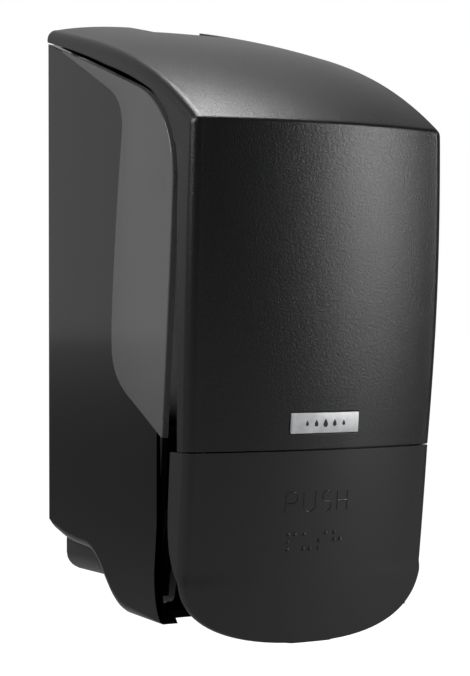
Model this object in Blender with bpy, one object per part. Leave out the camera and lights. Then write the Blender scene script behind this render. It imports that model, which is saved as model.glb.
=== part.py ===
"""Wall mounted soap dispenser: rear shell, smoked side windows, hinged cover with push lever,
cartridge with its pump, rocker and key lock.

Frame: the wall is the plane Y = 0, the front faces -Y, +X is to the right seen from the front and
+Z is up. The origin is the middle of the wall plate. Lengths below are millimetres.
"""
import math

import bmesh
import bpy
from mathutils import Matrix, Vector

MM = 0.001
GAP = 0.3                     # between two pieces that touch
RUN = 0.3                     # between a pin and its bore

# Overall form
SHELL_WIDTH = 98.0
COVER_WIDTH = SHELL_WIDTH + 1.0
SHELL_WALL = 2.5
COVER_WALL = 2.4
FRONT_DEPTH = 114.0           # wall to the cover's front corner, at the crease
FRONT_BULGE = 6.0             # how far the middle of the front stands beyond its corners
TOP_EDGE_Z = 94.8             # the cover's top corner at the wall
TOP_SLOPE_BACK = 12.1         # degrees below level, at the wall
TOP_SLOPE_FRONT = 35.4        # degrees below level, at the crease
TOP_CROWN = 3.4               # how far the top's middle stands above its corners, at the wall
CREASE_RADIUS = 2.5
SEAM_Z = -56.5                # between cover and push lever
SEAM_GAP = 0.4
SEAM_DEPTH = FRONT_DEPTH - 6.0
LEVER_FOOT_Z = -122.0
LEVER_FOOT_DEPTH = FRONT_DEPTH - 14.0
CORNER_RADIUS = 4.0
COVER_BARREL = 0.8            # how far the cover's sides bulge midway between crease and seam
SHELL_TOP_Z = 89.3
SHELL_BACK_FOOT_Z = -92.0
SHELL_FRONT_FOOT_Z = -114.5

# Cover hinge, lever pivot and rocker pivot, as (y, z)
COVER_HINGE = (33.0 - FRONT_DEPTH, -105.0)
LEVER_PIVOT = (15.0 - FRONT_DEPTH, -44.0)
ROCKER_PIVOT = (35.0 - FRONT_DEPTH, -80.0)
PIN_RADIUS = 1.9
EYE_RADIUS = 4.3
ARM_THICKNESS = 2.2
RAIL_THICKNESS = 2.5

# Wall plate
PLATE_WIDTH = 64.0
PLATE_HEIGHT = 130.0
PLATE_THICKNESS = 2.5
PLATE_HOLE_X = 24.0
PLATE_HOLE_Z = 52.0
PLATE_HOLE_RADIUS = 2.6
SCREW_RADIUS = 1.5
SCREW_HEAD_RADIUS = 3.2
SCREW_HEAD_HEIGHT = 1.8

# Cartridge and pump
BOTTLE_WIDTH = 78.0
BOTTLE_BACK = 12.0            # from the wall
BOTTLE_DEPTH = 68.0
BOTTLE_HEIGHT = 82.0
BOTTLE_WALL = 1.2
BOTTLE_ROUND = 16.0
DECK_Z = -50.0                # top of the chassis deck, which the bottle stands on
DECK_THICKNESS = 2.5
PUMP_Y = -52.0
NECK_RADIUS = 13.5
NECK_WALL = 1.6
NECK_LENGTH = 12.0
COLLAR_RADIUS = 17.0
COLLAR_HEIGHT = 10.0
CHAMBER_RADIUS = 5.6
CHAMBER_WALL = 2.0
CHAMBER_FOOT_Z = -77.0
STEM_RADIUS = 5.2
STEM_BORE = 1.8
DISC_RADIUS = 9.5
DISC_Z = -88.0                # top of the stem's thrust disc
DISC_THICKNESS = 2.2
NOZZLE_RADIUS = 5.0
NOZZLE_FOOT_Z = -108.0
BALL_RADIUS = 2.2

# Lock
LOCK_Y = -14.0
BARREL_RADIUS = 5.0
CAM_REACH = 23.0
CAM_WIDTH = 6.0
CAM_Z = 66.0
CAM_THICKNESS = 2.5
CATCH_Y = -7.6            # back of the catch that the turned cam stands in front of
CATCH_NEAR, CATCH_FAR = 17.0, 22.0
KEY_HALF = 15.0
KEY_BACK = 20.5
CATCH_THICKNESS = 2.4

# Name plate on the cover
BADGE_WIDTH = 26.4
BADGE_HEIGHT = 6.9
BADGE_Z = -47.6
BADGE_THICKNESS = 1.2
BADGE_PROUD = 0.3

for old in list(bpy.data.objects):
    bpy.data.objects.remove(old, do_unlink=True)


def material(name, colour, roughness, metallic=0.0):
    made = bpy.data.materials.new(name)
    made.use_nodes = True
    shader = made.node_tree.nodes["Principled BSDF"]
    shader.inputs["Base Color"].default_value = (*colour, 1.0)
    shader.inputs["Roughness"].default_value = roughness
    shader.inputs["Metallic"].default_value = metallic
    return made


def add_object(name, mesh_data, finish, origin=(0.0, 0.0, 0.0)):
    """Turn a bmesh in millimetres into a named object whose origin is at the given point."""
    bmesh.ops.recalc_face_normals(mesh_data, faces=mesh_data.faces)
    if mesh_data.calc_volume(signed=True) < 0:
        bmesh.ops.reverse_faces(mesh_data, faces=mesh_data.faces)
    to_metres = Matrix.Scale(MM, 4) @ Matrix.Translation(-Vector(origin))
    mesh_data.transform(to_metres)
    mesh = bpy.data.meshes.new(name)
    mesh_data.to_mesh(mesh)
    mesh_data.free()
    mesh.shade_smooth()
    mesh.set_sharp_from_angle(angle=math.radians(32))
    made = bpy.data.objects.new(name, mesh)
    made.location = Vector(origin) * MM
    bpy.context.collection.objects.link(made)
    if finish is not None:
        mesh.materials.append(finish)
    return made


def loft(rings):
    """Closed solid through rings of equal length, with flat ends."""
    shape = bmesh.new()
    rows = [[shape.verts.new(point) for point in ring] for ring in rings]
    count = len(rings[0])
    for row, following in zip(rows, rows[1:]):
        for i in range(count):
            j = (i + 1) % count
            shape.faces.new((row[i], row[j], following[j], following[i]))
    if len(rows) > 2:
        bmesh.ops.triangulate(shape, faces=shape.faces[:])
    for end in (rows[0], rows[-1]):
        cap = shape.faces.new(end)
        bmesh.ops.triangulate(shape, faces=[cap])
    return shape


def prism(outline, x0, x1):
    """An outline of (y, z) points, extruded from x0 to x1."""
    return loft([[(x, y, z) for y, z in outline] for x in (x0, x1)])


def block(low, high, rounding=0.0, segments=3):
    shape = bmesh.new()
    size = [b - a for a, b in zip(low, high)]
    middle = [(a + b) / 2 for a, b in zip(low, high)]
    place = Matrix.Translation(middle) @ Matrix.Diagonal((*size, 1.0))
    bmesh.ops.create_cube(shape, size=1.0, matrix=place)
    if rounding > 0:
        bmesh.ops.bevel(shape, geom=shape.edges[:], offset=rounding, offset_type="OFFSET",
                        segments=segments, profile=0.5, affect="EDGES")
    return shape


def turned(profile, centre, segments=20):
    """Revolve a closed (radius, z) profile about the vertical line through centre (x, y)."""
    on_axis = profile[0][0] < 1e-6 and profile[-1][0] < 1e-6
    shape = bmesh.new()
    columns = []
    for i in range(segments):
        turn = math.tau * i / segments
        columns.append([(centre[0] + r * math.cos(turn), centre[1] + r * math.sin(turn), z)
                        for r, z in profile])
    if not on_axis:
        rows = [[shape.verts.new(p) for p in column] for column in columns]
        count = len(profile)
        for i in range(segments):
            here, there = rows[i], rows[(i + 1) % segments]
            for k in range(count):
                n = (k + 1) % count
                shape.faces.new((here[k], there[k], there[n], here[n]))
        return shape
    first = shape.verts.new(columns[0][0])
    last = shape.verts.new(columns[0][-1])
    rows = [[shape.verts.new(p) for p in column[1:-1]] for column in columns]
    for i in range(segments):
        here, there = rows[i], rows[(i + 1) % segments]
        shape.faces.new((first, there[0], here[0]))
        shape.faces.new((last, here[-1], there[-1]))
        for k in range(len(here) - 1):
            shape.faces.new((here[k], there[k], there[k + 1], here[k + 1]))
    return shape


def rod(axis, place, radius, start, end, segments=14):
    """Cylinder along 'x', 'y' or 'z'; place gives the other two coordinates in order."""
    shape = bmesh.new()
    rings = []
    for along in (start, end):
        ring = []
        for i in range(segments):
            turn = math.tau * i / segments
            a = place[0] + radius * math.cos(turn)
            b = place[1] + radius * math.sin(turn)
            point = {"x": (along, a, b), "y": (a, along, b), "z": (a, b, along)}[axis]
            ring.append(shape.verts.new(point))
        rings.append(ring)
    for i in range(segments):
        j = (i + 1) % segments
        shape.faces.new((rings[0][i], rings[0][j], rings[1][j], rings[1][i]))
    shape.faces.new(rings[0])
    shape.faces.new(rings[1])
    return shape


def combine(base, tools, operation, solver):
    """Apply one Boolean per tool shape to the base object, and drop the tools."""
    for index, tool in enumerate(tools):
        helper = add_object(f"tool_{index}", tool, None)
        helper.hide_render = True
        helper.display_type = "WIRE"
        step = base.modifiers.new("step", "BOOLEAN")
        step.operation = operation
        step.solver = solver
        step.object = helper
        bpy.context.view_layer.update()
        graph = bpy.context.evaluated_depsgraph_get()
        result = bpy.data.meshes.new_from_object(base.evaluated_get(graph))
        base.modifiers.remove(step)
        base.data = result
        bpy.data.objects.remove(helper, do_unlink=True)
    base.data.name = base.name
    base.data.shade_smooth()
    base.data.set_sharp_from_angle(angle=math.radians(32))
    return base


def cut(base, *tools, solver="EXACT"):
    return combine(base, tools, "DIFFERENCE", solver)


def weld(base, *tools, solver="EXACT"):
    return combine(base, tools, "UNION", solver)


def arc(centre, radius, start, end, steps):
    """Points (y, z) on an arc; angles in degrees from +y towards +z."""
    points = []
    for i in range(steps + 1):
        turn = math.radians(start + (end - start) * i / steps)
        points.append((centre[0] + radius * math.cos(turn), centre[1] + radius * math.sin(turn)))
    return points


def bezier(p0, p1, p2, p3, steps):
    points = []
    for i in range(steps + 1):
        t = i / steps
        a, b, c, d = (1 - t) ** 3, 3 * t * (1 - t) ** 2, 3 * t * t * (1 - t), t ** 3
        points.append((a * p0[0] + b * p1[0] + c * p2[0] + d * p3[0],
                       a * p0[1] + b * p1[1] + c * p2[1] + d * p3[1]))
    return points


charcoal = material("satin_charcoal", (0.075, 0.078, 0.082), 0.45, 0.3)
gloss_black = material("gloss_black_plastic", (0.02, 0.02, 0.022), 0.12)
black_plastic = material("black_plastic", (0.03, 0.03, 0.03), 0.45)
smoked = material("smoked_plastic", (0.12, 0.12, 0.125), 0.1)
milky = material("milky_bottle", (0.75, 0.76, 0.76), 0.4)
white_plastic = material("white_plastic", (0.85, 0.85, 0.84), 0.35)
steel = material("steel", (0.62, 0.62, 0.62), 0.3, 1.0)
silver = material("silver_label", (0.55, 0.56, 0.57), 0.4, 0.2)
rubber = material("soft_seal", (0.12, 0.12, 0.12), 0.7)


# The line of the cover's corner edge, from the wall over the top to the seam, and the push
# lever's below it. Each station is (y, z, direction the outside faces in degrees).

TOP_BACK_DEPTH = 0.6


def top_line(count=9, fine=4):
    """Corner edge of the top from the wall to the crease; it slopes more and more."""
    y, z = -TOP_BACK_DEPTH, TOP_EDGE_Z
    line = [(y, z)]
    step = (FRONT_DEPTH - CREASE_RADIUS - TOP_BACK_DEPTH) / (count * fine)
    for i in range(count * fine):
        share = (i + 0.5) / (count * fine)
        slope = TOP_SLOPE_BACK + (TOP_SLOPE_FRONT - TOP_SLOPE_BACK) * share ** 2
        y -= step
        z -= step * math.tan(math.radians(slope))
        if i % fine == fine - 1:
            line.append((y, z))
    return line


CREASE = top_line()[-1]
FRONT_TOP_Z = CREASE[1] - CREASE_RADIUS * 1.2


def front_depth(z):
    """Depth of the front corner edge below the crease: upright at the top, leaning back below."""
    span = FRONT_TOP_Z - LEVER_FOOT_Z
    seam_share = (FRONT_TOP_Z - SEAM_Z) / span
    foot_drop = FRONT_DEPTH - LEVER_FOOT_DEPTH
    power = math.log((FRONT_DEPTH - SEAM_DEPTH) / foot_drop) / math.log(seam_share)
    share = min(1.0, max(0.0, (FRONT_TOP_Z - z) / span))
    return FRONT_DEPTH - foot_drop * share ** power


def front_lean(z):
    return math.degrees(math.atan((front_depth(z + 1) - front_depth(z - 1)) / 2))


def cover_stations():
    """Corner edge stations. Near the crease the sections fan out, so that they never cross."""
    fan_start = -0.64 * FRONT_DEPTH
    line = top_line()
    line += bezier(CREASE, (CREASE[0] - CREASE_RADIUS * 0.6, CREASE[1] - CREASE_RADIUS * 0.45),
                   (-FRONT_DEPTH, FRONT_TOP_Z + CREASE_RADIUS * 0.6),
                   (-FRONT_DEPTH, FRONT_TOP_Z), 4)[1:]
    fan_end = FRONT_TOP_Z - 36.0
    steps = 9
    for i in range(1, steps + 1):
        z = FRONT_TOP_Z + (SEAM_Z - FRONT_TOP_Z) * i / steps
        line.append((-front_depth(z), z))
    lengths = [0.0]
    for a, b in zip(line, line[1:]):
        lengths.append(lengths[-1] + math.dist(a, b))
    start = next(s for s, p in zip(lengths, line) if p[0] <= fan_start)
    end = next(s for s, p in zip(lengths, line) if p[1] <= fan_end)
    stations = []
    for s, (y, z) in zip(lengths, line):
        if s <= start:
            facing = 90.0 + 22.0 * s / start
        elif s < end:
            facing = 112.0 + 68.0 * (s - start) / (end - start)
        else:
            facing = 180.0
        stations.append((y, z, facing))
    return stations


# Depth of the cover's turned side: along the top as (share of the depth, reach), then down the
# front as (height, reach). It is deepest at the crease.
TOP_FLANGE = ((0.0, 4.9), (0.45, 6.6), (0.76, 5.6), (0.87, 7.6), (0.98, 13.6))
FRONT_FLANGE = ((SEAM_Z, 7.4), (3.0, 9.7), (39.0, 11.5), (51.0, 14.5))


def between(table, at):
    for (a, low), (b, high) in zip(table, table[1:]):
        if at <= b:
            return low + (high - low) * max(0.0, (at - a) / (b - a))
    return table[-1][1]


def flange_depth(y, z):
    if y > 4.0 - FRONT_DEPTH and z > FRONT_TOP_Z:
        return between(TOP_FLANGE, -y / FRONT_DEPTH)
    return between(FRONT_FLANGE, z)


def front_section(half_width, depth, corner, inset=0.0, steps=10):
    """Points (x, n, rise) across the front, n outward: left side, corner, face, corner, side.

    rise is 1 in the middle of the face and 0 at its corners.
    """
    wide = half_width - inset
    radius = max(0.5, corner - inset)
    flat = wide - radius
    low = -inset - radius
    points = [(-wide, -depth, 0.0)]
    for i in range(5):
        turn = math.radians(180.0 - 90.0 * i / 4)
        points.append((-flat + radius * math.cos(turn), low + radius * math.sin(turn), 0.0))
    for i in range(1, steps):
        across = 2.0 * i / steps - 1.0
        points.append((flat * across, -inset, 1.0 - abs(across)))
    for i in range(5):
        turn = math.radians(90.0 - 90.0 * i / 4)
        points.append((flat + radius * math.cos(turn), low + radius * math.sin(turn), 0.0))
    points.append((wide, -depth, 0.0))
    return points


def placed(section, station):
    """A section in place. The face bows upward at the wall and forward from the crease down."""
    y, z, facing = station
    out_y, out_z = math.cos(math.radians(facing)), math.sin(math.radians(facing))
    share = min(1.0, max(0.0, -y / FRONT_DEPTH)) if z > FRONT_TOP_Z else 1.0
    up = TOP_CROWN * (1.0 - share ** 2)
    points = []
    for x, n, rise in section:
        bow = 1.0 - (1.0 - rise) ** (3.0 - share)
        points.append((x, y + n * out_y - FRONT_BULGE * share * bow, z + n * out_z + up * bow))
    return points


def cover_half_width(z):
    share = min(1.0, max(0.0, (FRONT_TOP_Z - z) / (FRONT_TOP_Z - LEVER_FOOT_Z)))
    above_seam = min(1.0, max(0.0, (FRONT_TOP_Z - z) / (FRONT_TOP_Z - SEAM_Z)))
    return COVER_WIDTH / 2 - 1.4 * share + COVER_BARREL * math.sin(math.pi * above_seam)


def cover_rings(inset, extra_depth, extend):
    stations = cover_stations()
    if extend:
        first, last = stations[0], stations[-1]
        stations = [(first[0] + 6.0, first[1], first[2])] + stations
        stations.append((last[0], last[1] - 6.0, last[2]))
    rings = []
    for y, z, facing in stations:
        deep = flange_depth(y, z) + extra_depth
        section = front_section(cover_half_width(z), deep, CORNER_RADIUS, inset)
        rings.append(placed(section, (y, z, facing)))
    return rings


# --- wall plate ---------------------------------------------------------------------------

wall_plate = add_object("wall_plate", block((-PLATE_WIDTH / 2, -PLATE_THICKNESS, -PLATE_HEIGHT / 2),
                                            (PLATE_WIDTH / 2, 0.0, PLATE_HEIGHT / 2)), steel)
plate_holes = [rod("y", (sx * PLATE_HOLE_X, sz * PLATE_HOLE_Z), PLATE_HOLE_RADIUS,
                   -PLATE_THICKNESS - 1, 1.0) for sx in (-1, 1) for sz in (-1, 1)]
SHELL_SCREW_SPOTS = ((0.0, 40.0), (-22.0, -14.0), (22.0, -14.0))
plate_holes += [rod("y", spot, SCREW_RADIUS + RUN, -PLATE_THICKNESS - 1, 1.0)
                for spot in SHELL_SCREW_SPOTS]
cut(wall_plate, *plate_holes)

# --- rear shell ---------------------------------------------------------------------------

TOP_FRONT_Y = 15.5 - FRONT_DEPTH
PANEL_FOOT_Y = 27.6 - FRONT_DEPTH
TOE = (23.0 - FRONT_DEPTH, SHELL_FRONT_FOOT_Z)
HALF = SHELL_WIDTH / 2
INNER = HALF - SHELL_WALL


def panel_front_y(z):
    """The side panel's front edge: upright above, leaning back below."""
    top = 34.0
    share = min(1.0, max(0.0, (top - z) / (top + 92.0)))
    return TOP_FRONT_Y + (PANEL_FOOT_Y - TOP_FRONT_Y) * share ** 1.15


def panel_top_line():
    """Top edge under the cover's flange, then the rounded top front corner."""
    rear = bezier((-GAP, SHELL_TOP_Z), (-24.0, SHELL_TOP_Z - 7.2), (-48.0, SHELL_TOP_Z - 14.8),
                  (-72.0, SHELL_TOP_Z - 22.8), 4)
    return rear + bezier(rear[-1], (-88.0, SHELL_TOP_Z - 28.0), (TOP_FRONT_Y, 50.0),
                         (TOP_FRONT_Y, 34.0), 8)[1:]


def panel_front_line():
    levels = [24.0 - 116.0 * i / 9 for i in range(10)]
    return [(panel_front_y(z), z) for z in levels]


def shell_foot_line(lift=0.0):
    """The underside from the toe to the wall: level, an S-shaped rise, then level again."""
    front, back = SHELL_FRONT_FOOT_Z + lift, SHELL_BACK_FOOT_Z + lift
    rise = bezier((-66.0, front), (-48.0, front), (-45.0, back - 5.0), (-32.0, back - 3.2), 10)
    return rise + bezier((-26.0, back - 2.8), (-16.0, back - 2.2), (-4.0, back),
                         (-GAP, back + 5.0), 5)


shell_outline = (panel_top_line() + panel_front_line()
                 + bezier((PANEL_FOOT_Y, -98.0), (PANEL_FOOT_Y, -107.0), (-88.0, -112.0), TOE, 5)
                 + shell_foot_line())
rear_shell = add_object("rear_shell", prism(shell_outline, -HALF, HALF), gloss_black)
BACK_FACE = PLATE_THICKNESS + GAP
cavity = ([(-BACK_FACE - SHELL_WALL, 120.0), (-130.0, 120.0), (-130.0, SHELL_FRONT_FOOT_Z + 2.5)]
          + [p for p in shell_foot_line(SHELL_WALL) if p[0] < -BACK_FACE - SHELL_WALL - 4])
cavity.append((-BACK_FACE - SHELL_WALL, SHELL_BACK_FOOT_Z + SHELL_WALL))
# Window opening: everything in front of a line that runs down the side panel


def window_back_line():
    upper = [(-10.0, 95.0), (-12.5, 84.8), (-32.0, 76.2)]
    corner = bezier((-50.0, 68.0), (-58.0, 64.4), (-61.8, 60.0), (-61.4, 52.2), 5)
    lower = bezier((-58.0, 30.0), (-55.5, 10.0), (-53.2, -8.0), (-53.2, -20.0), 5)
    foot = bezier((-53.4, -24.0), (-54.4, -33.0), (-62.0, -37.6), (-69.0, -41.0), 5)
    return upper + corner + lower + foot + [(-88.0, -51.2), (-130.0, -73.7)]


window_region = window_back_line() + [(-130.0, 120.0), (-10.0, 120.0)]
cut(rear_shell, prism(window_region, -HALF - 1, -INNER + 1.0),
    prism(window_region, INNER - 1, HALF + 1), solver="MANIFOLD")
cut(rear_shell, prism(cavity, -INNER, INNER), solver="MANIFOLD")
cut(rear_shell, block((-PLATE_WIDTH / 2 - GAP, -BACK_FACE, -PLATE_HEIGHT / 2 - GAP),
                      (PLATE_WIDTH / 2 + GAP, 5.0, PLATE_HEIGHT / 2 + GAP)), solver="MANIFOLD")

# Outlet in the foot, open to the front, and the opening that the chassis foot stands in
OUTLET_HALF = 43.0
OUTLET_NARROW = 20.0
OUTLET_BACK = -63.0
NOZZLE_CLEAR = 13.0
CHASSIS_HALF = 44.0
CHASSIS_FRONT = -37.5
cut(rear_shell, block((-OUTLET_HALF, -130.0, -125.0), (OUTLET_HALF, COVER_HINGE[0] + 1.0, -104.0)),
    block((-OUTLET_NARROW, COVER_HINGE[0], -125.0), (OUTLET_NARROW, OUTLET_BACK, -104.0)),
    block((-NOZZLE_CLEAR, OUTLET_BACK - 2.0, -125.0), (NOZZLE_CLEAR, CHASSIS_FRONT - 2.0, -84.0)),
    solver="MANIFOLD")
cut(rear_shell, block((-CHASSIS_HALF - GAP, CHASSIS_FRONT - GAP, -125.0),
                      (CHASSIS_HALF + GAP, -BACK_FACE - SHELL_WALL, -80.0)), solver="MANIFOLD")
# Upstand along the back wall, up to just under the cover
weld(rear_shell, block((-40.0, -BACK_FACE - SHELL_WALL, SHELL_TOP_Z - 5.0),
                       (40.0, -BACK_FACE, TOP_EDGE_Z - COVER_WALL - 1.0)), solver="MANIFOLD")
BOSS_IN = 43.5
hinge_bosses = [rod("x", COVER_HINGE, EYE_RADIUS, side * BOSS_IN, side * (INNER + 1.0))
                for side in (-1, 1)]
weld(rear_shell, *hinge_bosses, solver="MANIFOLD")
cut(rear_shell, *[rod("x", COVER_HINGE, PIN_RADIUS + RUN, side * (BOSS_IN - 1.0), side * (HALF - 1.2))
                  for side in (-1, 1)], solver="MANIFOLD")
cut(rear_shell, *[rod("y", spot, SCREW_RADIUS + RUN, -12.0, 1.0) for spot in SHELL_SCREW_SPOTS],
    solver="MANIFOLD")

# --- side windows -------------------------------------------------------------------------

panel_outline = panel_top_line() + panel_front_line() + [(-60.0, -92.0), (-GAP, -92.0)]
for side, label in ((-1, "left"), (1, "right")):
    near, far = sorted((side * INNER, side * HALF))
    window = add_object(f"side_window_{label}", prism(panel_outline, near, far), smoked)
    keep = [(y - GAP, z + GAP) for y, z in window_region[:-2]]
    behind = keep + [(-130.0, -130.0), (30.0, -130.0), (30.0, 130.0), (-10.0 - GAP, 130.0)]
    cut(window, prism(behind, near - 1, far + 1), solver="MANIFOLD")

# --- screws that hold the shell to the wall plate -------------------------------------------


def screw_y(name, spot, head_y, length, finish=steel, way=1.0):
    """Pan head screw along Y; its head lies at head_y and its shank runs towards way * +Y."""
    x, z = spot
    segments = 16
    profile = [(0.0, -way * SCREW_HEAD_HEIGHT), (SCREW_HEAD_RADIUS * 0.6, -way * SCREW_HEAD_HEIGHT),
               (SCREW_HEAD_RADIUS, -way * SCREW_HEAD_HEIGHT * 0.5), (SCREW_HEAD_RADIUS, 0.0),
               (SCREW_RADIUS, 0.0), (SCREW_RADIUS, way * length), (0.0, way * length)]
    shape = turned(profile, (0.0, 0.0), segments)
    shape.transform(Matrix.Translation((x, head_y, z)) @ Matrix.Rotation(math.radians(-90), 4, "X"))
    return add_object(name, shape, finish)


shell_front_face = -BACK_FACE - SHELL_WALL
for number, spot in enumerate(SHELL_SCREW_SPOTS, 1):
    screw_y(f"shell_screw_{number}", spot, shell_front_face - GAP, SHELL_WALL + PLATE_THICKNESS)

# --- chassis: deck for the cartridge, rounded foot and lugs for the rocker ---------------------

CHASSIS_BACK = shell_front_face - GAP
CHASSIS_FOOT_Z = -105.6
FOOT_BACK = -0.8
foot_body = block((-CHASSIS_HALF, CHASSIS_FRONT, CHASSIS_FOOT_Z),
                  (CHASSIS_HALF, FOOT_BACK, CHASSIS_FOOT_Z + 40.0), 6.5, 5)
chassis = add_object("chassis", foot_body, black_plastic)
cut(chassis, block((-CHASSIS_HALF - 1, CHASSIS_FRONT - 1, SHELL_BACK_FOOT_Z + 10.0),
                   (CHASSIS_HALF + 1, 1.0, 0.0)),
    block((-CHASSIS_HALF - 1, CHASSIS_BACK, SHELL_BACK_FOOT_Z - 2.2), (CHASSIS_HALF + 1, 1.0, 0.0)),
    solver="MANIFOLD")
cut(chassis, block((-CHASSIS_HALF + 2.5, CHASSIS_FRONT + 2.5, CHASSIS_FOOT_Z + 2.5),
                   (CHASSIS_HALF - 2.5, CHASSIS_BACK - 2.8, 0.0), 4.0, 4), solver="MANIFOLD")
deck_low = DECK_Z - DECK_THICKNESS
weld(chassis,
     block((-CHASSIS_HALF, -84.0, deck_low), (CHASSIS_HALF, CHASSIS_BACK, DECK_Z)),
     block((0.6 - CHASSIS_HALF, CHASSIS_BACK - 2.4, SHELL_BACK_FOOT_Z + 1.0),
           (CHASSIS_HALF - 0.6, CHASSIS_BACK - 0.3, -24.0)), solver="MANIFOLD")
LUG_INNER, LUG_OUTER = 15.0, 18.5
lug_outline = [(-84.0, deck_low + 1), (-73.0, deck_low + 1)] + arc(ROCKER_PIVOT, EYE_RADIUS + 0.6,
                                                                 10, -190, 10)
weld(chassis, prism(lug_outline, -LUG_OUTER, -LUG_INNER), prism(lug_outline, LUG_INNER, LUG_OUTER),
     solver="MANIFOLD")
cut(chassis, rod("z", (0.0, PUMP_Y), COLLAR_RADIUS + 1.5, deck_low - 1, DECK_Z + 1, 32),
    rod("x", ROCKER_PIVOT, PIN_RADIUS + RUN, -LUG_OUTER - 1, LUG_OUTER + 1), solver="MANIFOLD")
CHASSIS_SCREW_SPOTS = ((-34.0, -36.0), (34.0, -36.0))
cut(chassis, *[rod("y", spot, SCREW_RADIUS + RUN, -12.0, 0.0) for spot in CHASSIS_SCREW_SPOTS],
    solver="MANIFOLD")
cut(rear_shell, *[rod("y", spot, SCREW_RADIUS + RUN, -12.0, -3.6) for spot in CHASSIS_SCREW_SPOTS],
    solver="MANIFOLD")
for number, spot in enumerate(CHASSIS_SCREW_SPOTS, 1):
    screw_y(f"chassis_screw_{number}", spot, CHASSIS_BACK - 2.4 - GAP, 3.6)

# --- cartridge --------------------------------------------------------------------------------

BOTTLE_FOOT_Z = DECK_Z + GAP
bottle_low = (-BOTTLE_WIDTH / 2, -BOTTLE_BACK - BOTTLE_DEPTH, BOTTLE_FOOT_Z)
bottle_high = (BOTTLE_WIDTH / 2, -BOTTLE_BACK, BOTTLE_FOOT_Z + BOTTLE_HEIGHT)
bottle = add_object("soap_bottle", block(bottle_low, bottle_high, BOTTLE_ROUND, 5), milky)
NECK_FOOT_Z = BOTTLE_FOOT_Z - NECK_LENGTH
weld(bottle, rod("z", (0.0, PUMP_Y), NECK_RADIUS, NECK_FOOT_Z, BOTTLE_FOOT_Z + 3.0, 28))
inner_low = tuple(v + BOTTLE_WALL for v in bottle_low)
inner_high = tuple(v - BOTTLE_WALL for v in bottle_high)
cut(bottle, block(inner_low, inner_high, BOTTLE_ROUND - BOTTLE_WALL, 5),
    rod("z", (0.0, PUMP_Y), NECK_RADIUS - NECK_WALL, NECK_FOOT_Z - 1, BOTTLE_FOOT_Z + 6.0, 28))

axis = (0.0, PUMP_Y)
FLANGE_TOP = NECK_FOOT_Z - GAP
SEAL_HEIGHT = 1.2
add_object("neck_seal", turned([(NECK_RADIUS - NECK_WALL, FLANGE_TOP), (NECK_RADIUS, FLANGE_TOP),
                                (NECK_RADIUS, FLANGE_TOP - SEAL_HEIGHT),
                                (NECK_RADIUS - NECK_WALL, FLANGE_TOP - SEAL_HEIGHT)], axis), rubber)
BODY_FLANGE_TOP = FLANGE_TOP - SEAL_HEIGHT - GAP
BODY_FLANGE = 1.8
COLLAR_FOOT = BODY_FLANGE_TOP - BODY_FLANGE - GAP - 1.6
collar_top = COLLAR_FOOT + COLLAR_HEIGHT
add_object("neck_collar", turned([(NECK_RADIUS + GAP, collar_top), (COLLAR_RADIUS - 0.6, collar_top),
                                  (COLLAR_RADIUS, collar_top - 0.6), (COLLAR_RADIUS, COLLAR_FOOT),
                                  (CHAMBER_RADIUS + CHAMBER_WALL + RUN, COLLAR_FOOT),
                                  (CHAMBER_RADIUS + CHAMBER_WALL + RUN, COLLAR_FOOT + 1.6),
                                  (NECK_RADIUS + GAP, COLLAR_FOOT + 1.6)], axis, 36), white_plastic)

# --- pump: body, inlet ball, spring, stem and nozzle tip ------------------------------------------

CHAMBER_TOP = BODY_FLANGE_TOP + 8.0
tube = CHAMBER_RADIUS + CHAMBER_WALL
seat = 1.3
cage = BALL_RADIUS + RUN
add_object("pump_body", turned([
    (seat, CHAMBER_TOP), (CHAMBER_RADIUS, CHAMBER_TOP), (CHAMBER_RADIUS, CHAMBER_FOOT_Z),
    (tube, CHAMBER_FOOT_Z), (tube, BODY_FLANGE_TOP - BODY_FLANGE),
    (NECK_RADIUS, BODY_FLANGE_TOP - BODY_FLANGE), (NECK_RADIUS, BODY_FLANGE_TOP),
    (tube, BODY_FLANGE_TOP), (tube, CHAMBER_TOP + 2.0), (cage + 1.6, CHAMBER_TOP + 4.0),
    (cage + 1.6, CHAMBER_TOP + 10.0), (cage - 0.9, CHAMBER_TOP + 10.0),
    (cage - 0.9, CHAMBER_TOP + 9.0), (cage, CHAMBER_TOP + 8.0), (cage, CHAMBER_TOP + 3.6),
    (seat, CHAMBER_TOP + 2.2)], axis), white_plastic)
ball_z = CHAMBER_TOP + 2.2 + 2.35
ball_shape = turned([(BALL_RADIUS * math.sin(math.pi * i / 10),
                      ball_z + BALL_RADIUS * math.cos(math.pi * i / 10)) for i in range(11)], axis, 16)
add_object("inlet_ball", ball_shape, steel)

STEM_TOP = CHAMBER_FOOT_Z + 5.0
WIRE_RADIUS = 0.45
SPRING_TURNS = 6
spring_foot = STEM_TOP + GAP
spring_top = CHAMBER_TOP - GAP
COIL_RADIUS = 3.9


def coil(low, high, radius, wire, turns, centre, per_turn=12, sides=5):
    """A round wire wound as a helix about a vertical line."""
    rings = []
    count = turns * per_turn
    rise = (high - low - 2 * wire) / count
    for i in range(count + 1):
        turn = math.tau * i / per_turn
        out = Vector((math.cos(turn), math.sin(turn), 0.0))
        middle = Vector((centre[0], centre[1], low + wire + rise * i)) + out * radius
        ring = []
        for k in range(sides):
            around = math.tau * k / sides
            ring.append(middle + out * wire * math.cos(around)
                        + Vector((0.0, 0.0, wire * math.sin(around))))
        rings.append(ring)
    return loft(rings)


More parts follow.
